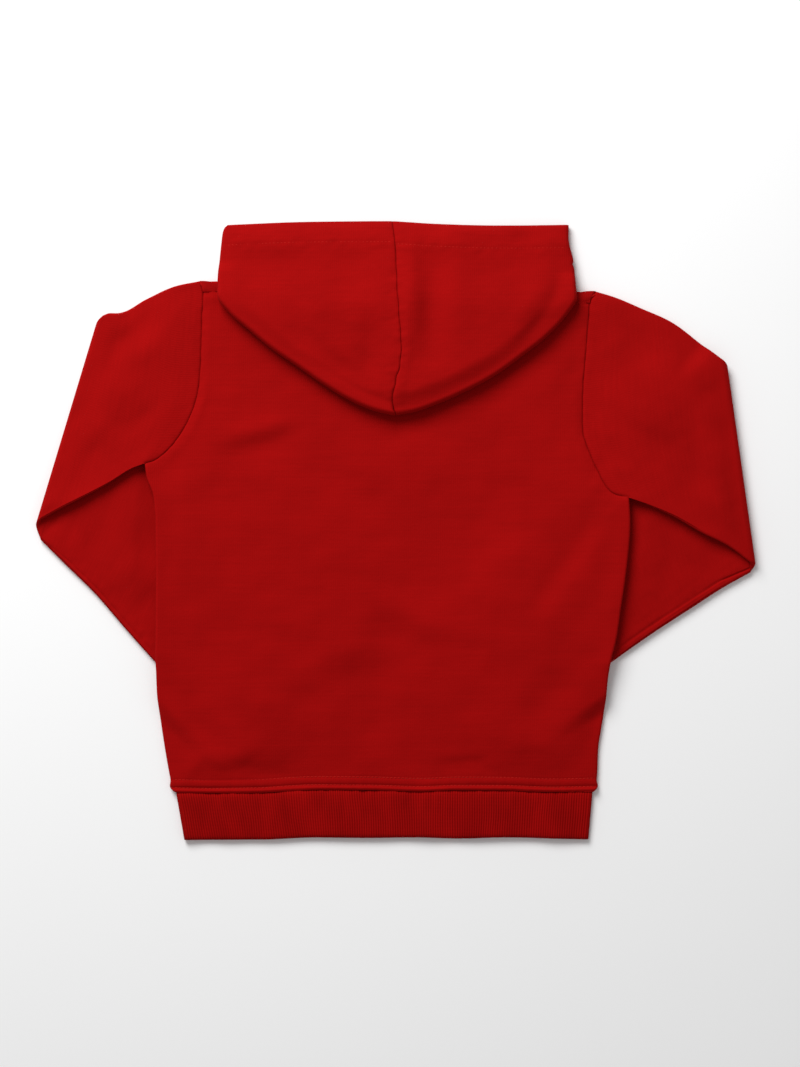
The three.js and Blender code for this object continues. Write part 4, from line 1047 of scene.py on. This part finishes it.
def hood_relief(side, x, y, from_rim):
    """Folds, centre seam, hem and rolled edge of the hood's visible layer."""
    inside = ease((from_rim - HOOD_ROLL) / CREASES_FROM_ROLL)
    from_seam = np.abs(x - hood_seam_x(y))
    relief = (creases("hood", x, y) + looseness(x, y, SEEDS["hood"])) * inside
    relief += seam_relief(from_seam, x, y, SEEDS["hood_seam"], pad=side == "right")
    depth = hood_hem_depth(side, x, y)
    into = depth - HOOD_HEM[side]
    hem = HOOD_HEM_STEP["height"] * ease(-into / HOOD_HEM_STEP["width"])
    hem -= HOOD_HEM_GROOVE["depth"] * ridge(into, 0, HOOD_HEM_GROOVE["width"])
    furrow = HOOD_RIM_FURROW[side] * ridge(from_rim, HOOD_RIM_FURROW["at"], HOOD_RIM_FURROW["width"])
    relief -= furrow * ease((HOOD_RIM_FURROW["below_y"] - y) / HOOD_RIM_FURROW["fade"])
    roll = RIM_ROLL[side]
    rolled_over = 1 - ease((from_rim - HOOD_ROLL) / roll["width"])
    relief -= roll["drop"] * rolled_over * ease((RIM_ROLL_START["below_y"] - y) / RIM_ROLL_START["fade"])
    pucker = puckers(x, y, SEEDS["hood_hem"], HOOD_HEM_PUCKER["longer"])
    pucker *= np.exp(-np.abs(into) / PUCKER["reach"]) * ease(depth / HOOD_HEM_PUCKER["from_edge"])
    return relief + hem * ease(depth / HOOD_HEM_FROM_EDGE) + pucker


def hood_opening(side, share):
    """The hood's opening edge, from the seam outwards."""
    edge_x, edge_y = HOOD_ROWS[side + "_x"][0], HOOD_ROWS[side + "_y"][0]
    seam_y = HOOD_ROWS["seam_y"][0]
    bulge = HOOD_EDGE_BULGE[side] * np.sin(np.pi * share)
    return mix(hood_seam_x(seam_y), edge_x, share), mix(seam_y, edge_y, share) + bulge


def hood_hem_depth(side, x, y):
    """Distance down from the hood's opening edge."""
    share = np.clip(x / HOOD_ROWS[side + "_x"][0], 0, 1)
    return hood_opening(side, share)[1] - y


def hood_rows(side):
    """Fine rows of a hood half: the points on its centre seam, its outer edge and the neck."""
    lines = [np.stack([hood_seam_x(HOOD_ROWS["seam_y"]), HOOD_ROWS["seam_y"]], 1), line_of(HOOD_ROWS, side)]
    neck = np.stack([HOOD_ROWS["neck_x"] * sign_of(side), HOOD_ROWS["neck_" + side + "_y"]], 1)
    places = even_places(lines[1:], ROW_STEP)
    seam, rim, neck = (through(line, places) for line in (*lines, neck))
    if side == "right":
        notch = ridge(rim[:, 1], HOOD_RIGHT_NOTCH["at_y"], HOOD_RIGHT_NOTCH["width"])
        rim[:, 0] -= HOOD_RIGHT_NOTCH["depth"] * notch
    return places, seam, rim, neck


def hood_corner(side, rim):
    """Share of the rolled edge's width that is left towards the hood's upper corner."""
    down = np.clip((rim[0, 1] - rim[:, 1] + SHORTEST) / (HOOD_CORNER[side] + SHORTEST), 0, 1)
    return np.maximum(np.sqrt(1 - (1 - down) ** 2), LEAST_ROLL)


HOOD_ROLL_STEPS = 10
HOOD_UNDER_STEPS = 8  # the least steps across the lower layer


def hood_half_grid(side, offset):
    """The visible layer from the centre seam, the rolled edge, and the lower layer back to the neck."""
    sign = sign_of(side)
    places, seam, rim, neck = hood_rows(side)
    tangent = unit(np.gradient(rim, axis=0))
    outward = np.stack([-tangent[:, 1], tangent[:, 0]], 1) * sign
    outward[-1] = (0, -1)
    axis = rim - outward * HOOD_ROLL
    last = len(HOOD_ROWS["seam_y"]) - 1
    on_seam = ease(places - (last - 1))[:, None]
    on_top = ease(1 - places)[:, None]
    count = int(np.abs(HOOD_ROWS[side + "_x"][0]) / COLUMN_STEP)
    share = beside_seam(np.linspace(0, 1, count + 1), COLUMN_STEP, SEAM_ROWS)
    point = mix(seam[:, None, :], axis[:, None, :], share[None, :, None])
    x, y = point[..., 0], point[..., 1]
    y = y + on_top * HOOD_EDGE_BULGE[side] * np.sin(np.pi * share)[None, :]
    to_tip = np.clip((seam[-1, 1] - y) / (seam[-1, 1] - axis[-1, 1]), 0, 1)
    straight = mix(seam[-1, 0], axis[-1, 0], to_tip)
    x = x + on_seam * (hood_seam_x(y) - straight)
    from_rim = distance_to_line(rim, x, y)
    z = hood_height(x, y) + hood_relief(side, x, y, from_rim)
    parts = [np.stack([x, y, z + offset], -1)]
    top = z[:, -1:]
    bottom = bed(axis[:, 0], axis[:, 1])[:, None] + CLOTH / 2
    angles = np.linspace(0, np.pi, HOOD_ROLL_STEPS + 1)[1:-1]
    radius = (HOOD_ROLL - CLOTH / 2 + offset) * hood_corner(side, rim)[:, None, None]
    rolled = axis[:, None, :] + outward[:, None, :] * radius * np.sin(angles)[None, :, None]
    rolled_z = (top + bottom) / 2 + ((top - bottom) / 2 + offset) * np.cos(angles)[None, :]
    parts.append(np.concatenate([rolled, rolled_z[..., None]], -1))
    count = int(np.linalg.norm(axis[0] - neck[0]) / UNDERSIDE_STEP) + HOOD_UNDER_STEPS
    share = np.linspace(0, 1, count + 1)
    under = mix(axis[:, None, :], neck[:, None, :], share[None, :, None])
    under_z = bed(under[..., 0], under[..., 1]) + CLOTH / 2 - offset
    parts.append(np.concatenate([under, under_z[..., None]], -1))
    points = np.concatenate(parts, axis=1)
    points[..., 0] += sign * SEWN
    return points


# Materials


def hex_to_linear(colour):
    """An sRGB hex colour as linear light."""
    channels = [int(colour[i:i + 2], 16) / 255 for i in (1, 3, 5)]
    return tuple(c / 12.92 if c <= 0.04045 else ((c + 0.055) / 1.055) ** 2.4 for c in channels) + (1,)


def add_node(tree, kind, inputs=(), **settings):
    """Adds a shader node, sets its properties, and sets or links its inputs."""
    made = tree.nodes.new(kind)
    for name, value in settings.items():
        setattr(made, name, value)
    for socket, value in dict(inputs).items():
        if isinstance(value, bpy.types.NodeSocket):
            tree.links.new(value, made.inputs[socket])
        else:
            made.inputs[socket].default_value = value
    return made


WAVE_TURN = 0.31416  # a wave texture of scale 1 repeats after this length
COTTON = {
    "Roughness": 0.95, "IOR": 1.46, "Specular IOR Level": 0.03,
    "Sheen Roughness": 0.4, "Sheen Tint": hex_to_linear("#E0483C"),
}


def per_metre(millimetres):
    """How many times a length fits into a metre."""
    return 1 / (millimetres * MM)


def new_material(name):
    """A material with an empty node tree."""
    material = bpy.data.materials.new(name)
    material.use_nodes = True
    material.node_tree.nodes.clear()
    return material, material.node_tree


def two_tone(tree, factor, colour, dark, light):
    """From a darker to a lighter shade of an sRGB hex colour."""
    base = hex_to_linear(colour)[:3]
    ends = [tuple(channel * share for channel in base) + (1,) for share in (dark, light)]
    mixed = add_node(tree, "ShaderNodeMix", {"Factor": factor, "A": ends[0], "B": ends[1]}, data_type="RGBA")
    return mixed.outputs["Result"]


def add_surface(tree, colour, height, strength, depth, looks):
    """Ends a material with its bump, its depth in millimetres, its shader and its output."""
    bump = add_node(tree, "ShaderNodeBump", {"Height": height, "Strength": strength, "Distance": depth * MM})
    shader = add_node(tree, "ShaderNodeBsdfPrincipled", {
        "Base Color": colour, "Normal": bump.outputs["Normal"], **looks})
    add_node(tree, "ShaderNodeOutputMaterial", {"Surface": shader.outputs["BSDF"]})


def brushed_back_jersey(name, colour, seed):
    """Sweatshirt jersey, knitted plain outside and brushed inside: matt, a little hairy, with faint streaks
    of uneven yarn across the cloth and soft cloudy dyeing. Its stitches are 0.9 mm apart, drawn 1.5 mm so
    that they show."""
    material, tree = new_material(name)
    cloth = add_node(tree, "ShaderNodeUVMap", uv_map="cloth").outputs["UV"]
    moved = add_node(tree, "ShaderNodeMapping", {"Vector": cloth, "Location": (seed, seed * 0.37, 0)})
    streak_place = add_node(tree, "ShaderNodeMapping", {
        "Vector": moved.outputs["Vector"], "Scale": (per_metre(38), per_metre(1.7), 1)})
    streaks = add_node(tree, "ShaderNodeTexNoise", {
        "Vector": streak_place.outputs["Vector"], "Scale": 1, "Detail": 3, "Roughness": 0.6})
    clouds = add_node(tree, "ShaderNodeTexNoise", {
        "Vector": moved.outputs["Vector"], "Scale": per_metre(55), "Detail": 2})
    fuzz = add_node(tree, "ShaderNodeTexNoise", {
        "Vector": moved.outputs["Vector"], "Scale": per_metre(1.6), "Detail": 4, "Roughness": 0.7})
    wales = add_node(tree, "ShaderNodeTexWave", {
        "Vector": moved.outputs["Vector"], "Scale": WAVE_TURN * per_metre(1.5), "Distortion": 1.5,
        "Detail": 1, "Detail Scale": 2}, bands_direction="X")
    pattern = add_node(tree, "ShaderNodeMath", {0: streaks.outputs["Fac"], 1: clouds.outputs["Fac"]},
                       operation="ADD")
    pattern = add_node(tree, "ShaderNodeMath", {0: pattern.outputs[0], 1: fuzz.outputs["Fac"]},
                       operation="ADD")
    spread = add_node(tree, "ShaderNodeMapRange", {
        "Value": pattern.outputs[0], "From Min": 1.05, "From Max": 1.95, "To Min": 0, "To Max": 1})
    surface_colour = two_tone(tree, spread.outputs["Result"], colour, 0.91, 1.09)
    height = add_node(tree, "ShaderNodeMath", {
        0: wales.outputs["Fac"], 1: 0.35, 2: fuzz.outputs["Fac"]}, operation="MULTIPLY_ADD")
    add_surface(tree, surface_colour, height.outputs[0], 0.5, 0.35, {**COTTON, "Sheen Weight": 0.05})
    return material


def cotton_rib(name, colour, pitch, seed):
    """Cotton rib knit with a little elastane: matt ribs, the furrows between them darkened by painted shade,
    each rib a cord knitted of small stitches 1.1 mm long."""
    material, tree = new_material(name)
    cloth = add_node(tree, "ShaderNodeUVMap", uv_map="cloth").outputs["UV"]
    # Painted shade: this wave darkens the colour in the furrows between the ribs
    furrow_shade = add_node(tree, "ShaderNodeTexWave", {
        "Vector": cloth, "Scale": WAVE_TURN * per_metre(pitch)}, bands_direction="X")
    stitches = add_node(tree, "ShaderNodeTexWave", {
        "Vector": cloth, "Scale": WAVE_TURN * per_metre(1.1), "Distortion": 2, "Detail": 1,
        "Detail Scale": 1.5}, bands_direction="Y")
    fuzz = add_node(tree, "ShaderNodeTexNoise", {
        "Vector": cloth, "Scale": per_metre(1.4), "Detail": 4, "Roughness": 0.7})
    clouds_place = add_node(tree, "ShaderNodeMapping", {
        "Vector": cloth, "Location": (seed, seed, 0), "Scale": (per_metre(17), per_metre(45), 1)})
    clouds = add_node(tree, "ShaderNodeTexNoise", {
        "Vector": clouds_place.outputs["Vector"], "Scale": 1, "Detail": 2})
    shade = add_node(tree, "ShaderNodeMapRange", {
        "Value": clouds.outputs["Fac"], "From Min": 0.3, "From Max": 0.7, "To Min": -0.4, "To Max": 0.4})
    mixed = add_node(tree, "ShaderNodeMath", {0: furrow_shade.outputs["Fac"], 1: shade.outputs["Result"]},
                     operation="ADD", use_clamp=True)
    # Colour: painted shade in the furrows, with cloudy uneven dyeing over it
    surface_colour = two_tone(tree, mixed.outputs[0], colour, 0.8, 1.12)
    height = add_node(tree, "ShaderNodeMath", {
        0: stitches.outputs["Fac"], 1: 0.5, 2: fuzz.outputs["Fac"]}, operation="MULTIPLY_ADD")
    add_surface(tree, surface_colour, height.outputs[0], 0.5, 0.3, {**COTTON, "Sheen Weight": 0.04})
    return material


def spun_polyester_thread(name, colour):
    """Sewing thread of spun polyester: two plies twisted together, with painted shade darkening the grooves
    between them; a little shinier than the cloth.
    """
    material, tree = new_material(name)
    place = add_node(tree, "ShaderNodeUVMap", uv_map="cloth").outputs["UV"]
    plies = add_node(tree, "ShaderNodeTexWave", {
        "Vector": place, "Scale": WAVE_TURN * per_metre(0.5)}, bands_direction="DIAGONAL")
    # Painted shade: the colour is darker in the grooves between the twisted plies
    surface_colour = two_tone(tree, plies.outputs["Fac"], colour, 0.75, 1.15)
    looks = {"Roughness": 0.75, "IOR": 1.54, "Specular IOR Level": 0.06}
    add_surface(tree, surface_colour, plies.outputs["Fac"], 0.6, 0.1, looks)
    return material


def painted_board(name, colour):
    """A board painted matt: pale and even, with the faint orange peel of a roller."""
    material, tree = new_material(name)
    place = add_node(tree, "ShaderNodeTexCoord").outputs["Object"]
    peel = add_node(tree, "ShaderNodeTexNoise", {"Vector": place, "Scale": per_metre(3), "Detail": 2})
    add_surface(tree, hex_to_linear(colour), peel.outputs["Fac"], 0.1, 0.05, {"Roughness": 0.8})
    return material


# One stitch: its rings from end to end, in shares of its length and of the thread's radius
STITCH_RING = 6
STITCH_SHAPE = table(["along", "radius", "rise"], [
    [-0.5, 0.35, -0.6], [-0.36, 0.9, 0.1], [0, 1, 0.45], [0.36, 0.9, 0.1], [0.5, 0.35, -0.6],
])


# Stitches fill this share of the step between them. Their rows start and end a little inside the edges, and
# lie higher or deeper in the cloth by a share of the thread's radius.
STITCH_SHARE = 0.82
HEM_STITCHES = {"inset": 1, "raised": 0.4}
HOOD_STITCHES = {"left_out": 2, "start": 0.7, "ends": 1.5, "raised": -0.85}


def stitch_row(name, x, y, z):
    """A row of stitches lying on the cloth: each is one short plump thread that dives in at both ends."""
    length, thick = settings().stitch_step / MM * STITCH_SHARE, settings().thread_radius / MM
    centres = np.stack([x, y, z], 1)
    directions = unit(np.gradient(np.stack([x, y], 1), axis=0))
    rings, ring = len(STITCH_SHAPE["along"]), np.arange(STITCH_RING) * 2 * np.pi / STITCH_RING
    side = np.stack([-directions[:, 1], directions[:, 0], np.zeros(len(directions))], 1)
    ahead = np.concatenate([directions, np.zeros((len(directions), 1))], 1)
    points = []
    for along, radius, rise in zip(*STITCH_SHAPE.values()):
        middle = centres + ahead * along * length
        middle[:, 2] += rise * thick
        for angle in ring:
            spoke = side * np.cos(angle) * radius * thick
            spoke[:, 2] += np.sin(angle) * radius * thick
            points.append(middle + spoke)
    points = np.stack(points, 1).reshape(-1, 3)
    one = grid_quads(rings, STITCH_RING, True)
    caps = []
    for base in (0, (rings - 1) * STITCH_RING):
        k = base + np.arange(STITCH_RING)
        caps += [[k[0], k[1], k[2], k[3]], [k[0], k[3], k[4], k[5]]]
    caps = np.array(caps)
    caps[:2] = caps[:2, ::-1]
    one = np.vstack([one, caps])
    if signed_volume(points[:rings * STITCH_RING] - centres[0], one) < 0:
        one = one[:, ::-1]
    size = rings * STITCH_RING
    faces = (one[None] + (np.arange(len(centres)) * size)[:, None, None]).reshape(-1, 4)
    return mesh_piece(name, points, faces, points[:, :2], thread())


# The add-on: its settings, an operator for each group of pieces and for the stage, and its panel


def settings():
    """The sizes and colours that a user may change."""
    return bpy.context.scene.hoodie


def material_named(name, make):
    """The material of this name, made where it isn't there yet."""
    return bpy.data.materials.get(name) or make()


def jersey(node):
    name = "brushed_back_jersey_" + node
    return material_named(name, lambda: brushed_back_jersey(
        name, settings().jersey_hex, list(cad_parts).index(node)))


def rib_knit(node):
    name = "cotton_rib_" + node
    return material_named(name, lambda: cotton_rib(
        name, settings().rib_hex, settings().rib_pitch / MM, list(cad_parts).index(node)))


def thread():
    return material_named("spun_polyester_thread", lambda: spun_polyester_thread(
        "spun_polyester_thread", settings().thread_hex))


class HoodieSettings(bpy.types.PropertyGroup):
    """Sizes and colours that a user may change"""
    jersey_hex: bpy.props.StringProperty(
        name="Jersey", description="sRGB colour of the sweatshirt jersey", default="#990A0A")
    rib_hex: bpy.props.StringProperty(
        name="Rib", description="sRGB colour of the rib knit", default="#930908")
    thread_hex: bpy.props.StringProperty(
        name="Thread", description="sRGB colour of the stitches", default="#B81E18")
    floor_hex: bpy.props.StringProperty(
        name="Floor", description="sRGB colour of the floor", default="#FBFBFB")
    rib_pitch: bpy.props.FloatProperty(
        name="Rib pitch", description="Distance from rib to rib", default=1.93 * MM, unit="LENGTH")
    rib_height: bpy.props.FloatProperty(
        name="Rib height", description="Height of a rib above its furrows", default=0.6 * MM, unit="LENGTH")
    stitch_step: bpy.props.FloatProperty(
        name="Stitch step", description="Distance from stitch to stitch", default=3 * MM, unit="LENGTH")
    thread_radius: bpy.props.FloatProperty(
        name="Thread radius", description="Half the thickness of the sewing thread", default=0.28 * MM,
        unit="LENGTH")
    key_power: bpy.props.FloatProperty(
        name="Key light", description="Power of the soft light from the upper left", default=47,
        unit="POWER")
    fill_strength: bpy.props.FloatProperty(
        name="Room light", description="Strength of the even light of the room", default=0.38)


class HOODIE_OT_back(bpy.types.Operator):
    """Sews the back panel and the double row of stitches above the waistband"""
    bl_idname = "hoodie.back"
    bl_label = "Back"

    def execute(self, context):
        back = wall_piece("back_panel", back_grid, False, jersey("back"))
        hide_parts("back")
        count = int((BAND["top_right"] - BAND["top_left"]) / (settings().stitch_step / MM))
        raised = settings().thread_radius / MM * HEM_STITCHES["raised"]
        share = (np.arange(count) + 0.5) / count
        inset = HEM_STITCHES["inset"]
        x = mix(SIDES["left_x"][0] + inset, SIDES["right_x"][0] - inset, share)
        for row, above in HEM_ROWS.items():
            y = hem_line(share) + above
            z = 2 * OUTER + lift(x, y) + back_relief(x, y) + raised
            stitch_row("stitches_hem_" + row, x, y, z)
        return {"FINISHED"}


class HOODIE_OT_front(bpy.types.Operator):
    """Sews the front panel, which wraps over both shoulders"""
    bl_idname = "hoodie.front"
    bl_label = "Front"

    def execute(self, context):
        front = wall_piece("front_panel", front_grid, False, jersey("front"))
        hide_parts("front")
        return {"FINISHED"}


class HOODIE_OT_sleeves(bpy.types.Operator):
    """Sews both sleeves, folded under, and their ribbed cuffs"""
    bl_idname = "hoodie.sleeves"
    bl_label = "Sleeves and cuffs"

    def execute(self, context):
        for side in ("left", "right"):
            node = "sleeve_" + side
            sleeve = wall_piece(
                node + "_tube", lambda half: sleeve_grid(side, half), True, jersey(node),
                sleeve_cloth(side))
            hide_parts(node)
            sewn, free, away = cuff_plan(side)
            node = "cuff_" + side
            cuff = band_piece(
                node + "_rib",
                lambda share: mix(sewn[0], sewn[1], share[:, None]) + away * SEAM,
                lambda share: mix(free[0], free[1], share[:, None]),
                np.linalg.norm(sewn[1] - sewn[0]), node, SEEDS["cuff"])
            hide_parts(node)
        return {"FINISHED"}


class HOODIE_OT_waistband(bpy.types.Operator):
    """Knits the ribbed waistband"""
    bl_idname = "hoodie.waistband"
    bl_label = "Waistband"

    def execute(self, context):
        def top(share):
            x = mix(BAND["top_left"], BAND["top_right"], share)
            return np.stack([x, hem_line(share) + SEWN], 1)

        def low(share):
            x = mix(BAND["low_left"], BAND["low_right"], share)
            return np.stack([x, wavy_edge(BAND_EDGE, share)], 1)

        width = BAND["low_right"] - BAND["low_left"]
        band = band_piece("waistband_rib", top, low, width, "waistband", SEEDS["band"])
        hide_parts("waistband")
        return {"FINISHED"}


# The bunched cloth's weld distance, rounding, height over the floor below which it lies still, and how much
# closer its folds lie along the body than across it
BUNCH = {"weld": 0.01, "levels": 2, "still_below": 3, "fold_over": 3}


class HOODIE_OT_hood(bpy.types.Operator):
    """Sews the hood's two halves, its hem stitches and the cloth bunched in the neck"""
    bl_idname = "hoodie.hood"
    bl_label = "Hood"

    def execute(self, context):
        raised = settings().thread_radius / MM * HOOD_STITCHES["raised"]
        for side in ("left", "right"):
            node = "hood_" + side
            half = wall_piece(
                node + "_panel", lambda offset: hood_half_grid(side, offset), False, jersey(node),
                sides=(CLOTH / 2, -CLOTH / 2))
            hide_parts(node)
            steps = int(np.abs(HOOD_ROWS[side + "_x"][0]) / (settings().stitch_step / MM))
            count = steps - HOOD_STITCHES["left_out"]
            share = (np.arange(count) + HOOD_STITCHES["start"]) / (count + HOOD_STITCHES["ends"])
            x, y = hood_opening(side, share)
            y = y - HOOD_HEM[side]
            relief = hood_relief(side, x, y, distance_to_line(line_of(HOOD_ROWS, side), x, y))
            z = hood_height(x, y) + relief + CLOTH / 2 + raised
            row = stitch_row("stitches_hood_" + side, x, y, z)
        bunch = self.bunch()
        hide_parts("hood_hidden_folds")
        return {"FINISHED"}

    def bunch(self):
        """The hidden cloth: its solid's form, its layers rounded off and made uneven."""
        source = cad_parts["hood_hidden_folds"].data
        form = bpy.data.objects.new("bunch_form", source.copy())
        bpy.context.collection.objects.link(form)
        welded = form.modifiers.new("weld", "WELD")
        welded.merge_threshold = BUNCH["weld"] * MM
        rounded = form.modifiers.new("round", "SUBSURF")
        rounded.levels = rounded.render_levels = BUNCH["levels"]
        shape = form.evaluated_get(bpy.context.evaluated_depsgraph_get()).to_mesh()
        points = np.array([vertex.co for vertex in shape.vertices]) / MM - TO_FRAME
        faces = np.array([tuple(face.vertices) for face in shape.polygons])
        bpy.data.objects.remove(form)
        x, y, z = points.T
        uneven = ripples(x, y * BUNCH["fold_over"], LOOSE["wavelength"][1], SEEDS["folds"])
        points[:, 2] += ease(z / BUNCH["still_below"]) * LOOSE["height"][1] * uneven
        return mesh_piece("hood_bunched_cloth", points, faces, points[:, :2],
                          jersey("hood_hidden_folds"))


# The photograph looks straight down: its middle, and the height that fits its frame on this lens
VIEW = {"x": 3.3, "y": -2.1, "height": 2021}
LENS = {"length": 85, "film": 36, "near": 10}

# In metres: the floor's half width, and the soft light beyond the hood, a little to the left
FLOOR_HALF = 12
KEY_SIZE = 1.3
KEY_PLACE = (-0.75, 1.45, 1.35)

FLOOR_BELOW = 0.3  # in millimetres, so that the cloth's lowest points don't meet the floor


class HOODIE_OT_stage(bpy.types.Operator):
    """Sets up the floor, the soft studio light and the camera above the garment"""
    bl_idname = "hoodie.stage"
    bl_label = "Floor, light and camera"

    def execute(self, context):
        scene = context.scene
        mesh = bpy.data.meshes.new("floor")
        edge, down = FLOOR_HALF, -FLOOR_BELOW * MM
        corners = [(-edge, -edge, down), (edge, -edge, down), (edge, edge, down), (-edge, edge, down)]
        mesh.from_pydata(corners, [], [(0, 1, 2, 3)])
        mesh.materials.append(painted_board("painted_board_floor", settings().floor_hex))
        floor = bpy.data.objects.new("floor", mesh)
        scene.collection.objects.link(floor)
        key = bpy.data.lights.new("key", "AREA")
        key.shape, key.size, key.energy = "DISK", KEY_SIZE, settings().key_power
        lamp = bpy.data.objects.new("key", key)
        lamp.location = KEY_PLACE
        lamp.rotation_euler = (-Vector(KEY_PLACE)).to_track_quat("-Z", "Y").to_euler()
        scene.collection.objects.link(lamp)
        world = bpy.data.worlds.new("room")
        world.use_nodes = True
        background = world.node_tree.nodes["Background"]
        background.inputs["Color"].default_value = (1, 1, 1, 1)
        background.inputs["Strength"].default_value = settings().fill_strength
        scene.world = world
        scene.view_settings.view_transform = "Standard"
        camera = bpy.data.cameras.new("camera")
        camera.lens, camera.sensor_width, camera.clip_start = LENS["length"], LENS["film"], LENS["near"] * MM
        above = bpy.data.objects.new("camera", camera)
        above.location = (VIEW["x"] * MM, VIEW["y"] * MM, VIEW["height"] * MM)
        scene.collection.objects.link(above)
        scene.camera = above
        return {"FINISHED"}


class HOODIE_PT_panel(bpy.types.Panel):
    """Lists the hoodie's settings and operators"""
    bl_label = "Hoodie"
    bl_idname = "HOODIE_PT_panel"
    bl_space_type = "VIEW_3D"
    bl_region_type = "UI"
    bl_category = "Hoodie"

    def draw(self, context):
        for field in HoodieSettings.__annotations__:
            self.layout.prop(context.scene.hoodie, field)
        for operator in OPERATORS:
            self.layout.operator(operator.bl_idname)


OPERATORS = [HOODIE_OT_back, HOODIE_OT_front, HOODIE_OT_sleeves, HOODIE_OT_waistband, HOODIE_OT_hood,
             HOODIE_OT_stage]
CLASSES = [HoodieSettings, *OPERATORS, HOODIE_PT_panel]


def register():
    for kind in CLASSES:
        bpy.utils.register_class(kind)
    bpy.types.Scene.hoodie = bpy.props.PointerProperty(type=HoodieSettings)


def unregister():
    del bpy.types.Scene.hoodie
    for kind in reversed(CLASSES):
        bpy.utils.unregister_class(kind)


def main():
    """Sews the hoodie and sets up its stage."""
    register()
    bpy.ops.hoodie.back()
    bpy.ops.hoodie.front()
    bpy.ops.hoodie.sleeves()
    bpy.ops.hoodie.waistband()
    bpy.ops.hoodie.hood()
    bpy.ops.hoodie.stage()


if __name__ == "__main__":
    main()
